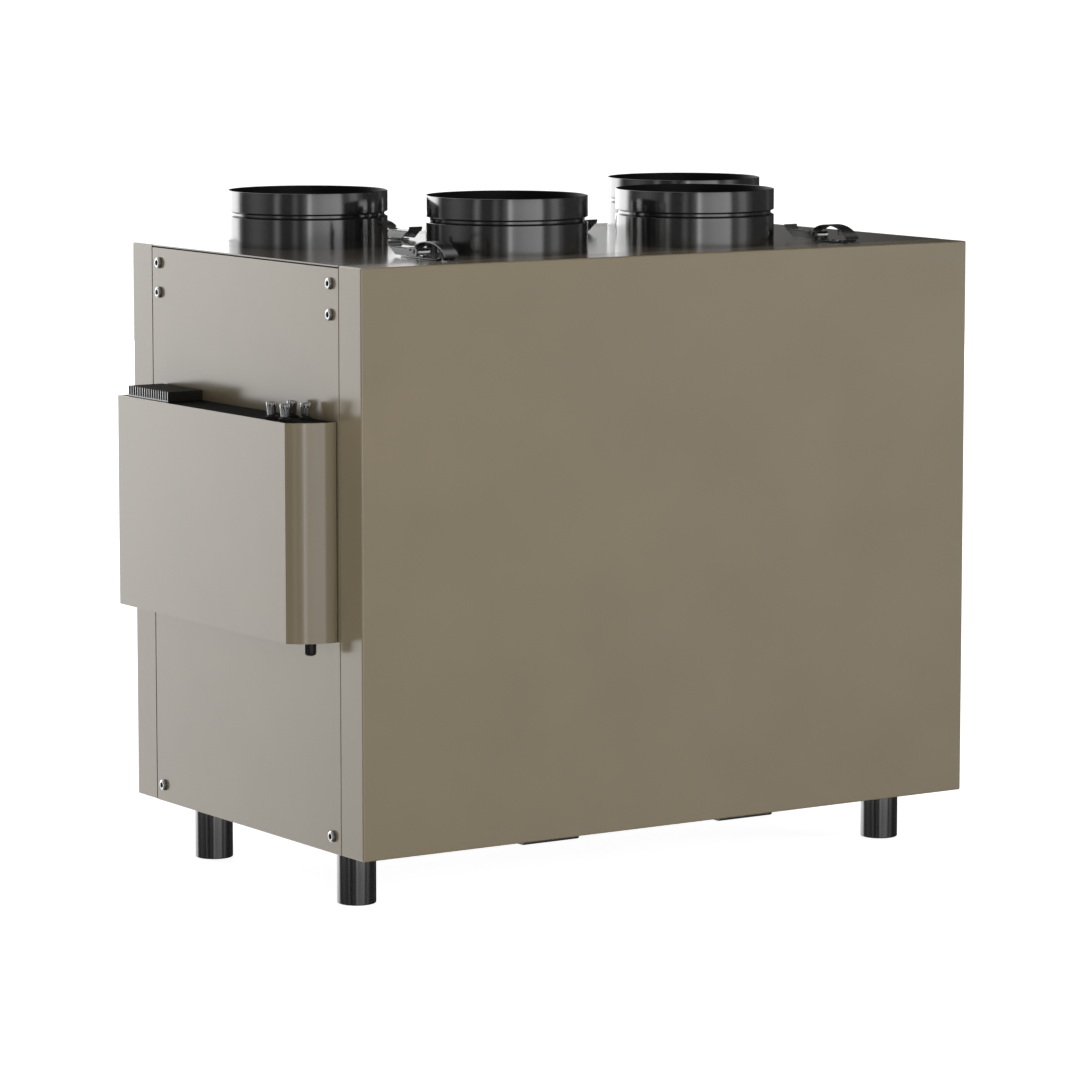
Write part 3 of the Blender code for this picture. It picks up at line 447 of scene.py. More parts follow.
def piece(name, bm, looks, body, stands_for=(), place=None, bevel=0.0, segments=3, sheet=0.0, cut=None,
          flat=False):
    """Makes a finished piece in the CAD's frame and ties it to its body and to the nodes it stands for.

    bevel rounds its edges, sheet thickens an open skin inwards, cut is a mesh whose shape is taken
    away, and flat keeps the shading of large faces even up to their rounded folds.
    """
    if place is not None:
        bmesh.ops.transform(bm, matrix=place, verts=bm.verts)
    bmesh.ops.recalc_face_normals(bm, faces=bm.faces)
    mesh = bpy.data.meshes.new(name)
    bm.to_mesh(mesh)
    bm.free()
    for look in looks if isinstance(looks, tuple) else (looks,):
        mesh.materials.append(look)
    mesh.shade_smooth()
    obj = bpy.data.objects.new(name, mesh)
    bpy.context.scene.collection.objects.link(obj)
    if sheet:
        fold = obj.modifiers.new("Fold", "SOLIDIFY")
        fold.thickness = sheet
        fold.offset = -1.0
        fold.use_even_offset = True
    if bevel:
        edge = obj.modifiers.new("Edge", "BEVEL")
        edge.width = bevel
        edge.segments = segments
        edge.limit_method = "ANGLE"
        edge.angle_limit = SMOOTH_BELOW
        edge.harden_normals = True
    else:
        mesh.set_sharp_from_angle(angle=SMOOTH_BELOW)
    if cut is not None:
        tool_mesh = bpy.data.meshes.new(f"{name}_cut")
        bmesh.ops.recalc_face_normals(cut, faces=cut.faces)
        cut.to_mesh(tool_mesh)
        cut.free()
        tool = bpy.data.objects.new(f"{name}_cut", tool_mesh)
        bpy.context.scene.collection.objects.link(tool)
        holes = obj.modifiers.new("Holes", "BOOLEAN")
        holes.object = tool
        holes.operation = "DIFFERENCE"
        holes.solver = "EXACT"
    if flat:
        mesh.set_sharp_from_angle(angle=math.radians(50))
        normals = obj.modifiers.new("Normals", "WEIGHTED_NORMAL")
        normals.keep_sharp = True
        normals.weight = 100
    if obj.modifiers:
        bake(obj)
    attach(obj, body)
    if stands_for:
        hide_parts(*stands_for)
    return obj


def middle_of(node):
    """The middle of a node's box."""
    low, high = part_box(node)
    return (low + high) / 2


def join(bm, other):
    """Adds the geometry of other to bm."""
    mesh = bpy.data.meshes.new("joined")
    other.to_mesh(mesh)
    other.free()
    bm.from_mesh(mesh)
    bpy.data.meshes.remove(mesh)


def add_frame(bm, x, z, width, start, end):
    """A rectangular ring in the X-Z plane, from start to end along Y."""
    def corners(shrink, y):
        return [(x[0] + shrink, y, z[0] + shrink), (x[1] - shrink, y, z[0] + shrink),
                (x[1] - shrink, y, z[1] - shrink), (x[0] + shrink, y, z[1] - shrink)]

    rings = [corners(0.0, start), corners(0.0, end), corners(width, end), corners(width, start)]
    add_rings(bm, rings, closed=True)


# ---- casing ----

STRIP_HALF = 0.00975                    # half the width of the latch strip and the strikes


def make_covers():
    """Deep folded sheets with rounded folds, their latch strikes, foam slabs and seals."""
    for name, outer, toward in (("front_cover", COVER_FRONT, 1.0), ("rear_cover", COVER_BACK, -1.0)):
        low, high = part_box(name)
        inner = high.y if toward > 0 else low.y
        bm = bmesh.new()
        add_box(bm, (MIDDLE_X - HALF_WIDTH, MIDDLE_X + HALF_WIDTH), tuple(sorted((inner, outer))),
                (low.z, TOP))
        back = [face for face in bm.faces if abs(face.calc_center_median().y - inner) < 1e-5]
        bmesh.ops.delete(bm, geom=back, context="FACES")
        folds = [edge for edge in bm.edges if len(edge.link_faces) == 2]
        bmesh.ops.bevel(bm, geom=folds, offset=0.0021, segments=5, profile=0.5, affect="EDGES")
        piece(f"{name}_sheet", bm, paint, name, (name,), sheet=0.0012, flat=True)
        for side in ("left", "right"):
            make_strike(name, side, inner, toward)

        low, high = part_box(f"{name}_insulation")
        bm = bmesh.new()
        add_box(bm, (low.x, high.x), (low.y, high.y), (low.z, high.z))
        piece(f"{name}_foam", bm, foam, name, (f"{name}_insulation",), bevel=0.003)
        face = high.y if toward > 0 else low.y
        bm = bmesh.new()
        add_frame(bm, (low.x + 0.008, high.x - 0.008), (low.z + 0.008, high.z - 0.008), 0.010,
                  face - toward * 0.001, face + toward * 0.0019)
        piece(f"{name}_seal", bm, rubber, name, bevel=0.0007, segments=2)


def make_strike(cover, side, inner, toward):
    """The hooked strip that one latch pulls on, with two rivets, on the cover's top flange."""
    middle = middle_of(f"latch_base_{cover.split('_')[0]}_{side}").x
    profile = [(0.0020, -0.0006), (0.0150, -0.0006), (0.0150, 0.0012), (0.0086, 0.0012),
               (0.0066, 0.0018), (0.0052, 0.0040), (0.0038, 0.0040), (0.0048, 0.0014), (0.0020, 0.0012)]
    bm = bmesh.new()
    section = [(inner - toward * y, TOP + z) for y, z in profile]
    add_prism(bm, section, middle - STRIP_HALF, middle + STRIP_HALF, "X")
    for x in (-0.0055, 0.0055):
        rivet = bmesh.new()
        add_lathe(rivet, [(0.0017, 0.0), (0.0016, 0.0004), (0.0010, 0.0008), (0.0003, 0.0009)], 20)
        bmesh.ops.translate(rivet, verts=rivet.verts, vec=(middle + x, inner - toward * 0.0118, TOP + 0.0012))
        join(bm, rivet)
    piece(f"{cover}_strike_{side}", bm, latch_black, cover, bevel=0.0003, segments=2)


def make_panels():
    """Both side panels, and the top panel with its four holes."""
    for side in ("left", "right"):
        low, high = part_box(f"{side}_side_panel")
        bm = bmesh.new()
        add_box(bm, (low.x, min(high.x, MIDDLE_X + HALF_WIDTH)), (low.y, high.y), (low.z, high.z))
        piece(f"{side}_side_panel_sheet", bm, paint, "casing", (f"{side}_side_panel",),
              bevel=0.0006)

    low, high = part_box("top_panel")
    bm = bmesh.new()
    add_box(bm, (low.x, high.x), (low.y, high.y), (low.z, high.z))
    holes = bmesh.new()
    for node in SPIGOTS:
        spot = middle_of(node)
        ring = bmesh.new()
        add_lathe(ring, [(0.1003, low.z - 0.01), (0.1003, high.z + 0.01)], 128)
        bmesh.ops.translate(ring, verts=ring.verts, vec=(spot.x, spot.y, 0.0))
        join(holes, ring)
    # The top panel takes the darker copy of the casing paint: painted shade.
    piece("top_panel_sheet", bm, shaded_top_paint, "casing", ("top_panel",),
          bevel=0.0007, cut=holes)


def make_base_tray():
    """Underside pressing with upturned lips, and the four rounded hooks that carry the covers."""
    low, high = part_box("base_tray")
    body_low, body_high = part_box("left_side_panel")
    edge = (high.x - low.x) / 2
    lip, sheet = 0.014, 0.0015
    section = [(-edge, 0.0), (edge, 0.0), (edge, lip), (edge - sheet, lip), (edge - sheet, 0.002),
               (sheet - edge, 0.002), (sheet - edge, lip), (-edge, lip)]
    bm = bmesh.new()
    add_prism(bm, [(MIDDLE_X + x, UNDERSIDE + z) for x, z in section], body_low.y, body_high.y, "Y")
    drop, reach, plate, bend = UNDERSIDE - low.z, 0.028, 0.0025, 0.004
    hook_place, hook_half = 0.147, 0.04075
    hook = [(0.0, 0.001), (0.0, bend - drop)]
    hook += [(bend - bend * math.cos(a), bend - drop - bend * math.sin(a))
             for a in (0.26, 0.52, 0.79, 1.05, 1.31, 1.57)]
    hook += [(reach, -drop), (reach, plate - drop), (bend, plate - drop)]
    hook += [(plate, 0.0046 - drop), (plate, 0.001)]
    for end, inward in ((body_low.y, 1), (body_high.y, -1)):
        face = end + inward * 0.0003
        outline = [(face + inward * y, UNDERSIDE + z) for y, z in hook]
        for x in (MIDDLE_X - hook_place, MIDDLE_X + hook_place):
            add_prism(bm, outline, x - hook_half, x + hook_half, "X")
    # Its near-black is partly dark paint, partly painted shade of the underside.
    piece("base_tray_pressing", bm, tray_black_and_shade, "casing", ("base_tray",),
          bevel=0.0005, segments=2)


def make_feet():
    """Round feet with a relieved sole and a small radius at the floor."""
    for node in ("foot_front_left", "foot_front_right", "foot_rear_left", "foot_rear_right"):
        low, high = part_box(node)
        spot = middle_of(node)
        tall = high.z - low.z
        radius = (high.x - low.x) / 2
        profile = [(0.0004, 0.0012), (0.0100, 0.0012), (0.0108, 0.0), (0.0145, 0.0), (0.0152, 0.0012),
                   (0.0180, 0.0012), (0.0188, 0.0)]
        profile += [(radius - 0.0016 + 0.0016 * math.cos(a), 0.0016 + 0.0016 * math.sin(a))
                    for a in (-1.57, -1.05, -0.52, 0.0)]
        profile += [(radius, tall - 0.0008), (radius - 0.0008, tall), (0.0004, tall)]
        bm = bmesh.new()
        add_lathe(bm, profile, 96)
        piece(f"{node}_leg", bm, foot_black, "casing", (node,),
              Matrix.Translation((spot.x, spot.y, low.z)))


def make_spigots():
    """Thin rolled collars: a soft-edged groove, a rounded rim, and the flange under the panel."""
    def wall(inset):
        line = [(100.0 - inset, 35.6)]
        for step in range(13):
            t = step / 12
            slope = min(min(t, 1.0 - t) / 0.32, 1.0)
            line.append((100.0 - inset - 4.0 * slope * slope * (3 - 2 * slope), 36.0 + 7.5 * t))
        line.append((100.0 - inset, 43.9))
        return line

    profile = [(112.0, -3.8), (112.0, -2.3), (100.0, -2.3)] + wall(0.0)
    profile += [(100.0, 68.3), (99.83, 68.8), (99.4, 69.0), (98.97, 68.8), (98.8, 68.3)]
    inside = len(profile) - 2
    profile += wall(1.2)[::-1] + [(98.8, -3.8)]
    for node in SPIGOTS:
        spot = middle_of(node)
        bm = bmesh.new()
        add_lathe(bm, profile, 144, closed=True, look_from=[(inside, 1)])
        # The inner wall takes the darker, duller black: painted shade.
        piece(f"{node}_collar", bm, (spigot_black, duct_inside_shade), "casing", (node,),
              Matrix.Translation((spot.x, spot.y, TOP)) @ MM)


def make_screw(name, place, stands_for=()):
    """Socket button head: black rim, bright turned face, and a black hexagon socket; the black on rim and
    socket is painted shade on a steel screw.
    """
    rings = [circle(7.0, 0.3, 72), circle(7.0, 2.6, 72), circle(6.9, 3.0, 72)]
    rings += [circle(6.5, 3.5, 72), circle(5.9, 3.9, 72), circle(5.0, 4.2, 72), circle(4.3, 4.3, 72)]
    rings += [circle(3.7, 4.1, 72, hexagon), circle(3.5, 3.8, 72, hexagon), circle(3.5, 1.4, 72, hexagon)]
    rings += [circle(0.3, 0.7, 72)]
    bm = bmesh.new()
    # The rim and the socket take the black: painted shade.
    add_rings(bm, rings, look_from=[(2, 1), (7, 0)])
    piece(name, bm, (screw_shade_black, steel), "casing", stands_for, place @ MM)


def make_screws():
    """Six screws on each side panel."""
    turn = Matrix.Rotation(math.radians(-90), 4, "Y")
    turn_right = Matrix.Rotation(math.radians(90), 4, "Y")
    for number in range(1, 7):
        node = f"side_screw_{number}"
        spot = middle_of(node)
        place = Matrix.Translation((MIDDLE_X - HALF_WIDTH, spot.y, spot.z)) @ turn
        make_screw(f"{node}_head", place, (node,))
        make_screw(f"right_screw_{number}_head",
                   Matrix.Translation((MIDDLE_X + HALF_WIDTH, spot.y, spot.z)) @ turn_right)


# ---- latches ----
# Drawn in millimetres: X across the latch, Y from the cover (-) to the middle of the unit (+),
# Z up from the top panel, with the lever's pivot over the origin.

STRIP = 1000 * STRIP_HALF
GAUGE = 1.5
PIVOT = (0.0, 8.4)
CLAW_PIVOT = (8.0, 10.0)


def cross_ring(x, centre, radius, steps=28):
    """A ring of points round the X axis through centre (y, z)."""
    angles = [2 * math.pi * k / steps for k in range(steps)]
    return [(x, centre[0] + radius * math.cos(a), centre[1] + radius * math.sin(a)) for a in angles]


def latch_base_mesh():
    """Waisted base strip, two ears for the lever's pin and two lugs for the cross rod."""
    bm = bmesh.new()
    outline = arc((-7.75, -48.0), 2.0, 180, 270) + arc((7.75, -48.0), 2.0, 270, 360)
    outline += [(STRIP, -11.0), (7.9, -9.0)] + arc((6.4, 32.5), 1.5, 0, 90) + arc((-6.4, 32.5), 1.5, 90, 180)
    outline += [(-7.9, -9.0), (-STRIP, -11.0)]
    add_prism(bm, outline, 0.3, 1.8, "Z")
    ear = [(-6.0, 1.0), (6.0, 1.0)] + arc(PIVOT, 2.8, 12, 168, 12)
    lug = [(-10.2, 1.0), (-6.4, 1.0), (-6.8, 7.2), (-9.8, 7.2)]
    for x in (-7.9, 6.4):
        add_prism(bm, ear, x, x + GAUGE, "X")
        add_prism(bm, lug, x, x + GAUGE, "X")
    return bm


def latch_rivets_mesh():
    """Domed rivet heads along the base."""
    bm = bmesh.new()
    dome = [(2.9, 0.0), (2.784, 0.522), (2.088, 0.957), (1.044, 1.189), (0.232, 1.247)]
    for y in (-44.0, -29.0, -17.0, 26.0):
        rivet = bmesh.new()
        add_lathe(rivet, dome, 28)
        bmesh.ops.translate(rivet, verts=rivet.verts, vec=(0.0, y, 1.7))
        join(bm, rivet)
    return bm


def latch_rod_mesh():
    """The bright rod across the base, under the arch; its pale, mostly diffuse finish is a painted highlight
    on steel.
    """
    bm = bmesh.new()
    ends = ((-8.0, 0.9), (-8.0, 1.4), (8.0, 1.4), (8.0, 0.9))
    add_rings(bm, [cross_ring(x, (-8.3, 7.8), radius) for x, radius in ends])
    return bm


def add_pin(bm, radius, centre):
    """A pin across the latch with a domed head at each end."""
    heads = ((0.55, 0.25), (0.5, 0.9), (0.3, 1.3), (0.0, 1.45), (0.0, 1.0))
    rings = [cross_ring(-STRIP - out, centre, radius * size) for out, size in heads]
    rings += [cross_ring(STRIP + out, centre, radius * size) for out, size in reversed(heads)]
    add_rings(bm, rings)


def latch_pins_mesh():
    bm = bmesh.new()
    add_pin(bm, 2.0, PIVOT)
    add_pin(bm, 1.3, CLAW_PIVOT)
    return bm


def latch_lever_mesh():
    """Two cheeks under a strip that ends in the raised finger lip."""
    bm = bmesh.new()
    cheek = arc((-4.5, 10.2), 2.0, 180, 90) + [(56.0, 12.2), (56.0, 11.6), (43.0, 2.4)]
    cheek += arc((-4.4, 4.5), 2.1, 270, 180)
    for x in (-STRIP, STRIP - GAUGE):
        add_prism(bm, cheek, x, x + GAUGE, "X")
    lip = [(16.5, 11.65), (30.0, 11.65), (44.0, 11.65)]
    lip += curve_points((54.0, 11.65), (58.2, 11.65), (60.2, 13.4), (61.2, 17.7), 12)
    add_prism(bm, strap_outline(lip, GAUGE), -STRIP, STRIP, "X")
    return bm


def latch_claw_mesh():
    """Arched spring strip with its tongue, its hook and the eye that turns on the lever's pin."""
    bm = bmesh.new()
    arch = curve_points((-1.0, 14.6), (-20.0, 26.0), (-60.0, 23.0), (-71.2, 5.0), 40)
    add_prism(bm, strap_outline(arch, 1.4), -STRIP, STRIP, "X")
    add_prism(bm, [(8.0, 10.8), (8.8, 12.4), (-1.2, 15.3), (-2.0, 14.0)], -6.0, 6.0, "X")
    add_prism(bm, [(-45.2, 9.0), (-46.8, 9.0), (-46.8, 20.0), (-45.2, 21.0)], -4.0, 4.0, "X")
    eye = ((-5.8, 1.6), (-5.8, 2.6), (5.8, 2.6), (5.8, 1.6))
    add_rings(bm, [cross_ring(x, CLAW_PIVOT, radius, 40) for x, radius in eye], closed=True)
    return bm


def make_latches():
    for corner in ("front_left", "front_right", "rear_left", "rear_right"):
        low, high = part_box(f"latch_base_{corner}")
        front = corner.startswith("front")
        pivot_y = low.y + 0.050 if front else high.y - 0.050
        place = Matrix.Translation(((low.x + high.x) / 2, pivot_y, TOP))
        if not front:
            place = place @ Matrix.Rotation(math.pi, 4, "Z")
        place = place @ MM
        lever = f"latch_lever_{corner}"
        for kind, body, bm in (("latch_base", "casing", latch_base_mesh()),
                               ("latch_lever", lever, latch_lever_mesh()),
                               ("latch_claw", f"latch_claw_{corner}", latch_claw_mesh())):
            piece(f"{kind}_{corner}_formed", bm, latch_black, body,
                  (f"{kind}_{corner}",), place, bevel=0.00028, segments=2)
        for kind, bm, look, body, slot in (
                ("latch_rivets", latch_rivets_mesh(), latch_black, "casing", "black_latch_steel"),
                # The rod's pale finish is a painted highlight.
                ("latch_cross_rod", latch_rod_mesh(), rod_steel_painted_highlight, "casing", "stainless_screw"),
                ("latch_pins", latch_pins_mesh(), pin_steel, lever, "black_latch_steel")):
            piece(f"{kind}_{corner}", bm, look, body, (), place)


# ---- control box ----

NOSE_RADIUS = 0.0646                    # the bulging front end, seen from above
NOSE_OUT = 0.009                        # its centre's distance from the side panel
NOSE_BACK = 0.120                       # and from the front of the unit
SIDE_WALL = MIDDLE_X - HALF_WIDTH


def box_outline(inset, open_side, steps=44):
    """Plan of the control box: a flat outer wall, a bulging front end and a square rear end."""
    low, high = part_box("control_box_cover")
    radius = NOSE_RADIUS - inset
    out = SIDE_WALL - low.x - inset
    start = math.degrees(math.asin(-math.sqrt(radius ** 2 - (out - NOSE_OUT) ** 2) / radius))
    end = math.degrees(math.acos((NOSE_OUT - open_side) / radius))
    nose = arc((SIDE_WALL - NOSE_OUT, COVER_FRONT + NOSE_BACK), radius, -180.0 - start, -end, steps)
    rear = high.y - inset
    return nose + [(SIDE_WALL - open_side, rear), (SIDE_WALL - out, rear)]


def make_control_box():
    """Painted shell, open towards the side panel, under a black lid."""
    low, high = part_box("control_box_cover")
    outer = box_outline(0.0, 0.0003)
    inner = box_outline(0.0015, 0.0018)
    bm = bmesh.new()
    add_rings(bm, [[(x, y, z) for x, y in line] for line, z in
                   ((outer, low.z), (outer, high.z), (inner, high.z), (inner, low.z + 0.0015))])
    hidden = [face for face in bm.faces if all(vert.co.x > SIDE_WALL - 0.0025 for vert in face.verts)]
    bmesh.ops.delete(bm, geom=hidden, context="FACES")
    # The shell takes the darker copy of the casing paint: painted shade.
    piece("control_box_shell", bm, shaded_box_paint, "casing", ("control_box_cover",),
          bevel=0.0005)

    low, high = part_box("control_box_top_plate")
    bm = bmesh.new()
    add_prism(bm, box_outline(0.0018, 0.0003), low.z, high.z, "Z")
    piece("control_box_lid", bm, plate_black, "casing", ("control_box_top_plate",),
          bevel=0.0004, segments=2)


def make_heat_sink():
    """Extruded fins along X, black all over but bare where the ends are sawn."""
    low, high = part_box("heat_sink")
    fins = 18
    floor, thick = low.z + 0.002, 0.0016
    pitch = (high.y - low.y - thick) / (fins - 1)
    outline = [(high.y, low.z), (low.y, low.z)]
    for fin in range(fins):
        y = low.y + fin * pitch
        outline += [(y, high.z), (y + thick, high.z)]
        if fin < fins - 1:
            outline += [(y + thick, floor), (y + pitch, floor)]
    bm = bmesh.new()
    add_prism(bm, outline, low.x, high.x, "X")
    bm.normal_update()
    for face in bm.faces:
        if abs(face.normal.x) > 0.9:
            face.material_index = 1
    piece("heat_sink_extrusion", bm, (sink_black, sawn_metal), "casing",
          ("heat_sink",), bevel=0.0002, segments=1)


def make_glands():
    """Cable glands: a black hexagon base under a bright, flared and fluted top."""
    ribs, fingers = flutes(12, 0.07), flutes(8, 0.16)
    base = ((6.0, -12.0, None), (6.0, 0.3, None), (7.9, 0.3, hexagon), (7.9, 3.1, hexagon), (6.7, 3.5, None),
            (4.6, 3.6, None))
    top = ((4.6, 4.6, None), (5.3, 5.0, ribs), (5.6, 11.0, ribs), (6.0, 14.5, ribs), (6.1, 15.4, ribs),
           (6.3, 16.2, fingers), (6.6, 18.9, fingers), (6.2, 20.0, fingers))
    bore = ((4.4, 20.0, None), (4.1, 18.9, None), (3.7, 18.6, None), (3.7, 9.0, None))
    rings = [circle(radius, height, 72, shape) for radius, height, shape in base + top + bore]
    plate_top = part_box("control_box_top_plate")[1].z
    for number in range(1, 5):
        node = f"cable_gland_{number}"
        spot = middle_of(node)
        bm = bmesh.new()
        add_rings(bm, rings, look_from=[(len(base), 1), (len(base) + len(top), 0)])
        piece(f"{node}_body", bm, (gland_base, gland_metal), "casing", (node,),
              Matrix.Translation((spot.x, spot.y, plate_top)) @ MM)


def make_service_button():
    """Round-ended push button and the rubber seal round it."""
    low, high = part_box("service_button")
    spot = middle_of("service_button")
    tall = 1000 * (high.z - low.z)
    profile = [(0.3, 0.0)] + arc((3.1, 4.2), 4.2, -84, 0, 10) + [(7.3, 17.0), (7.3, tall - 0.2), (7.1, tall)]
    bm = bmesh.new()
    add_lathe(bm, profile, 72)
    piece("service_button_cap", bm, gloss_black, "service_button", ("service_button",),
          Matrix.Translation((spot.x, spot.y, low.z)) @ MM)
    bm = bmesh.new()
    lip = [(7.6, -0.05), (9.0, -0.05), (9.6, -0.5), (9.4, -1.1), (8.4, -1.3), (7.6, -1.1)]
    add_lathe(bm, lip, 72, closed=True)
    piece("service_button_seal", bm, rubber, "casing", (),
          Matrix.Translation((spot.x, spot.y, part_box("control_box_cover")[0].z)) @ MM)


# ---- inside ----

def make_exchanger():
    """Plate pack: thin hexagon plates between two end frames, with rails on its six edges."""
    low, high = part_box("heat_exchanger_core")
    z = (low.z + high.z) / 2
    half, tall, flat = (high.x - low.x) / 2, (high.z - low.z) / 2, 0.045
    corners = [(half, 0.0), (flat, tall), (-flat, tall), (-half, 0.0), (-flat, -tall), (flat, -tall)]

    def outline(shrink):
        return [(MIDDLE_X + x * (1 - shrink), z + y * (1 - shrink)) for x, y in corners]

    bm = bmesh.new()
    add_prism(bm, outline(0.05), low.y + 0.002, high.y - 0.002, "Y")
    count = 110
    for number in range(count):
        y = low.y + 0.006 + (high.y - low.y - 0.012) * number / (count - 1)
        add_prism(bm, outline(0.012), y - 0.0006, y + 0.0006, "Y")
    piece("heat_exchanger_plates", bm, stack, "casing", ("heat_exchanger_core",))
    bm = bmesh.new()
    for start, end in ((low.y, low.y + 0.003), (high.y - 0.003, high.y)):
        add_prism(bm, outline(0.0), start, end, "Y")
    for x, y in outline(0.025):
        add_box(bm, (x - 0.004, x + 0.004), (low.y + 0.001, high.y - 0.001), (y - 0.003, y + 0.003))
    piece("heat_exchanger_frame", bm, zinc, "casing", (), bevel=0.0006, segments=2)


def make_filters():
    """Two flat cassettes with a pull tab, lying on the upper faces of the exchanger."""
    core_low, core_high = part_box("heat_exchanger_core")
    middle_z = (core_low.z + core_high.z) / 2
    half, tall = (core_high.x - core_low.x) / 2, (core_high.z - core_low.z) / 2
    flat = 0.045                        # half of the exchanger's flat top
    reach, deep, wall = 0.072, 0.018, 0.003
    pleats, sheet = 48, 0.0006
    for node, side in (("extract_filter", -1.0), ("supply_filter", 1.0)):
        low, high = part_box(node)
        normal = Vector((side, 1.0)).normalized()
        along = Vector((side, -1.0)).normalized()
        centre = Vector((side * (half + flat) / 2, middle_z + tall / 2)) + normal * (deep + 0.0015)

        def corner(a, b):
            point = centre + along * a + normal * b
            return (MIDDLE_X + point.x, point.y)

        def bar(a, b, across, start, end):
            outline = [corner(a, -across), corner(b, -across), corner(b, across), corner(a, across)]
            add_prism(bm, outline, start, end, "Y")

        front, rear = low.y + 0.010, high.y
        bm = bmesh.new()
        bar(-reach - wall, -reach, deep, front, rear)
        bar(reach, reach + wall, deep, front, rear)
        bar(-reach, reach, deep, front, front + wall)
        bar(-reach, reach, deep, rear - wall, rear)
        bar(-0.025, 0.025, 0.0015, low.y, front + 0.005)
        piece(f"{node}_frame", bm, white_plastic, "casing", (), bevel=0.0006, segments=2)
        zigzag = [(reach * (2 * k / pleats - 1), 0.016 if k % 2 else -0.016) for k in range(pleats + 1)]
        outline = [corner(a, b + sheet) for a, b in zigzag]
        outline += [corner(a, b - sheet) for a, b in reversed(zigzag)]
        bm = bmesh.new()
        add_prism(bm, outline, front + wall, rear - wall, "Y")
        piece(f"{node}_pleats", bm, fleece, "casing", (node,))


def make_drain():
    """Ribbed drain pipe with a plain cuff where it meets the tray."""
    low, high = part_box("condensate_drain")
    spot = middle_of("condensate_drain")
    radius = (high.x - low.x) / 2
    bore, valley, crest = radius - 0.0025, radius - 0.0010, radius - 0.0002
    profile = [(bore, 0.0), (radius - 0.0012, 0.0)]
    for rib in range(9):
        z = 0.001 + 0.0022 * rib
        profile += [(valley, z), (crest, z + 0.0007), (crest, z + 0.0012), (valley, z + 0.0019)]
    profile += [(radius - 0.0008, 0.0216), (radius, 0.0224), (radius, 0.0330)]
    profile += [(radius, high.z - low.z), (bore, high.z - low.z)]
    bm = bmesh.new()
    add_lathe(bm, profile, 72, closed=True)
    piece("condensate_drain_pipe", bm, rubber, "casing", ("condensate_drain",),
          Matrix.Translation((spot.x, spot.y, low.z)))


make_covers()
make_panels()
make_base_tray()
make_feet()
make_spigots()
make_screws()
make_latches()
make_control_box()
make_heat_sink()
make_glands()
make_service_button()
make_exchanger()
make_filters()
make_drain()


# ---- stage ----

def make_floor():
    """Wide pale floor just under the feet, bright enough to fade into the backdrop."""
    bm = bmesh.new()
    bmesh.ops.create_grid(bm, x_segments=12, y_segments=12, size=120.0)
    mesh = bpy.data.meshes.new("floor")
    bm.to_mesh(mesh)
    bm.free()
    floor = bpy.data.objects.new("floor", mesh)
    bpy.context.scene.collection.objects.link(floor)
    floor.location.z = -0.0006
    s = Shader("pale_floor")
    s.colour(s.ramp(s.noise(3.0, 3.0), [(0.3, (0.48, 0.48, 0.48)), (0.7, (0.50, 0.50, 0.50))]))
    s.value("Roughness", 0.9)
    s.value("Specular IOR Level", 0.0)
    s.value("Emission Color", (1.0, 1.0, 1.0, 1.0))
    s.value("Emission Strength", 0.90)
    mesh.materials.append(s.material)
    floor.visible_glossy = False


# What the paint mirrors, as (heading, radiance). The headings are in degrees from the back,
# clockwise seen from above, and the levels were set against the photograph.
BANDS = (
    (-180, 0.78), (-160, 0.62), (-156, 0.7), (-152, 1.5), (-147, 0.25), (-138, 0.07), (-131, 0.3),
    (-125, 0.07), (-112, 0.07), (-104, 0.5), (-97, 0.1), (-70, 0.25), (-42, 0.10), (-35, 0.45), (-30, 2.0),
    (-24, 3.1), (24, 3.1), (30, 2.3), (33, 0.9), (35, 0.2), (38, 0.03), (74, 0.08), (81, 0.16), (90, 0.07),
    (120, 0.06), (131, 0.18), (137, 0.45), (144, 0.42), (151, 0.18), (158, 0.14), (163, 0.9), (180, 0.78),
)
# How much of that is left from straight below (0) over the horizon (0.5) to straight above (1).
HEIGHTS = ((0.0, 0.25), (0.35, 0.40), (0.42, 0.70), (0.48, 1.0), (0.60, 1.0), (0.72, 0.45), (1.0, 0.12))


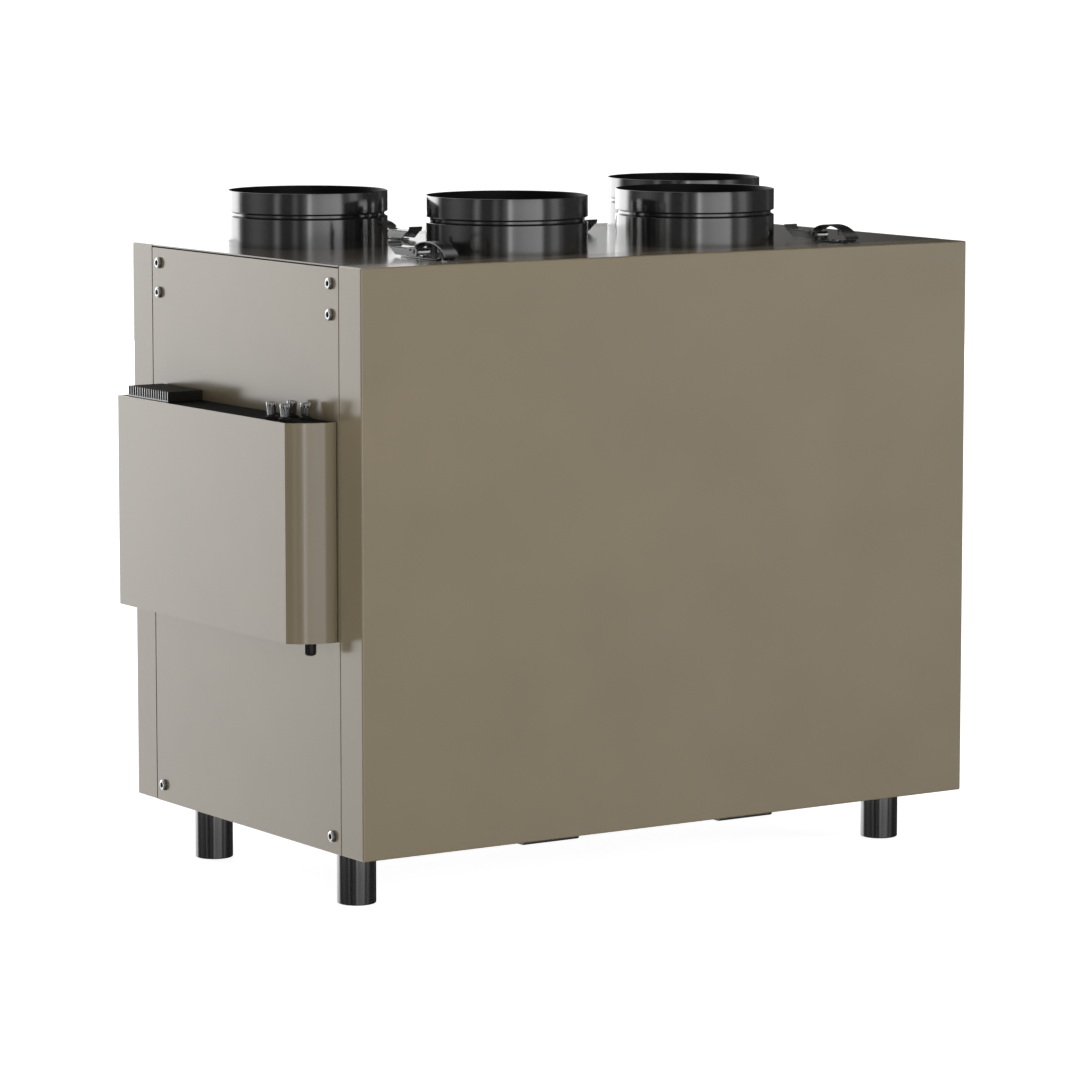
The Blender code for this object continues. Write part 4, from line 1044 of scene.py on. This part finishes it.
def make_world():
    """Soft studio surroundings: upright light panels all round, plain white where the camera looks."""
    world = bpy.data.worlds.new("studio")
    bpy.context.scene.world = world
    world.use_nodes = True
    tree = world.node_tree
    tree.nodes.clear()

    def node(kind, links=(), values=(), **settings):
        made = tree.nodes.new(kind)
        for key, value in settings.items():
            setattr(made, key, value)
        for socket, source in links:
            tree.links.new(source, made.inputs[socket])
        for socket, value in values:
            made.inputs[socket].default_value = value
        return made

    def grey_ramp(source, stops, **settings):
        ramp = node("ShaderNodeValToRGB", (("Fac", source),))
        for key, value in settings.items():
            setattr(ramp.color_ramp, key, value)
        fill_ramp(ramp.color_ramp, [(position, (level, level, level)) for position, level in stops])
        return ramp.outputs["Color"]

    place = node("ShaderNodeTexCoord")
    split = node("ShaderNodeSeparateXYZ", ((0, place.outputs["Generated"]),))
    heading = node("ShaderNodeMath", ((0, split.outputs["X"]), (1, split.outputs["Y"])), operation="ARCTAN2")
    turn = node("ShaderNodeMapRange", (("Value", heading.outputs[0]),),
                (("From Min", -math.pi), ("From Max", math.pi)))
    lift = node("ShaderNodeMapRange", (("Value", split.outputs["Z"]),), (("From Min", -1.0),))
    peak = max(level for _, level in BANDS)
    around = [((angle + 180.0) / 360.0, level / peak) for angle, level in BANDS]
    bands = grey_ramp(turn.outputs["Result"], around, interpolation="EASE")
    heights = grey_ramp(lift.outputs["Result"], HEIGHTS)
    overhead = grey_ramp(lift.outputs["Result"], ((0.89, 0.0), (0.95, 1.0)))
    walls = node("ShaderNodeMix", ((6, bands), (7, heights)), ((0, 1.0),),
                 data_type="RGBA", blend_type="MULTIPLY")
    room = node("ShaderNodeMix", ((6, walls.outputs[2]), (7, overhead)), ((0, 0.30),),
                data_type="RGBA", blend_type="ADD")
    studio = node("ShaderNodeBackground", (("Color", room.outputs[2]),), (("Strength", peak),))
    plain = node("ShaderNodeBackground", (), (("Color", (1.0, 1.0, 1.0, 1.0)),))
    path = node("ShaderNodeLightPath")
    choose = node("ShaderNodeMixShader", ((0, path.outputs["Is Camera Ray"]), (1, studio.outputs[0]),
                                          (2, plain.outputs[0])))
    node("ShaderNodeOutputWorld", (("Surface", choose.outputs[0]),))


def make_light(name, place, target, side, power):
    """Square soft light that neither the camera nor a reflection shows."""
    data = bpy.data.lights.new(name, "AREA")
    data.shape = "RECTANGLE"
    data.size = data.size_y = side
    data.energy = power
    light = bpy.data.objects.new(name, data)
    bpy.context.scene.collection.objects.link(light)
    light.location = place
    light.rotation_euler = (Vector(target) - Vector(place)).to_track_quat("-Z", "Y").to_euler()
    light.visible_camera = False
    light.visible_glossy = False


def make_camera():
    """The photograph's camera, solved from the casing's straight edges."""
    data = bpy.data.cameras.new("camera")
    data.lens = 162.15
    data.sensor_width = 36.0
    data.clip_end = 400.0
    camera = bpy.data.objects.new("camera", data)
    bpy.context.scene.collection.objects.link(camera)
    camera.location = (-3.3616, -5.1488, 1.1830)
    camera.rotation_euler = (math.radians(82.7292), 0.0, math.radians(-33.2303))
    bpy.context.scene.camera = camera


bpy.context.scene.view_settings.view_transform = "Standard"
make_floor()
make_world()
make_light("front_soft_light", (-1.5, -2.6, 0.3), (-0.1, 0.0, 0.28), 2.2, 58.0)
make_light("left_soft_light", (-5.0, 0.8, 0.15), (-0.5, 0.0, 0.30), 3.0, 45.0)
make_light("right_soft_light", (9.2, -7.7, 1.0), (0.0, 0.0, 0.35), 5.0, 930.0)
make_light("back_soft_light", (3.0, 7.0, 0.8), (0.0, 0.0, 0.35), 4.0, 420.0)
make_camera()
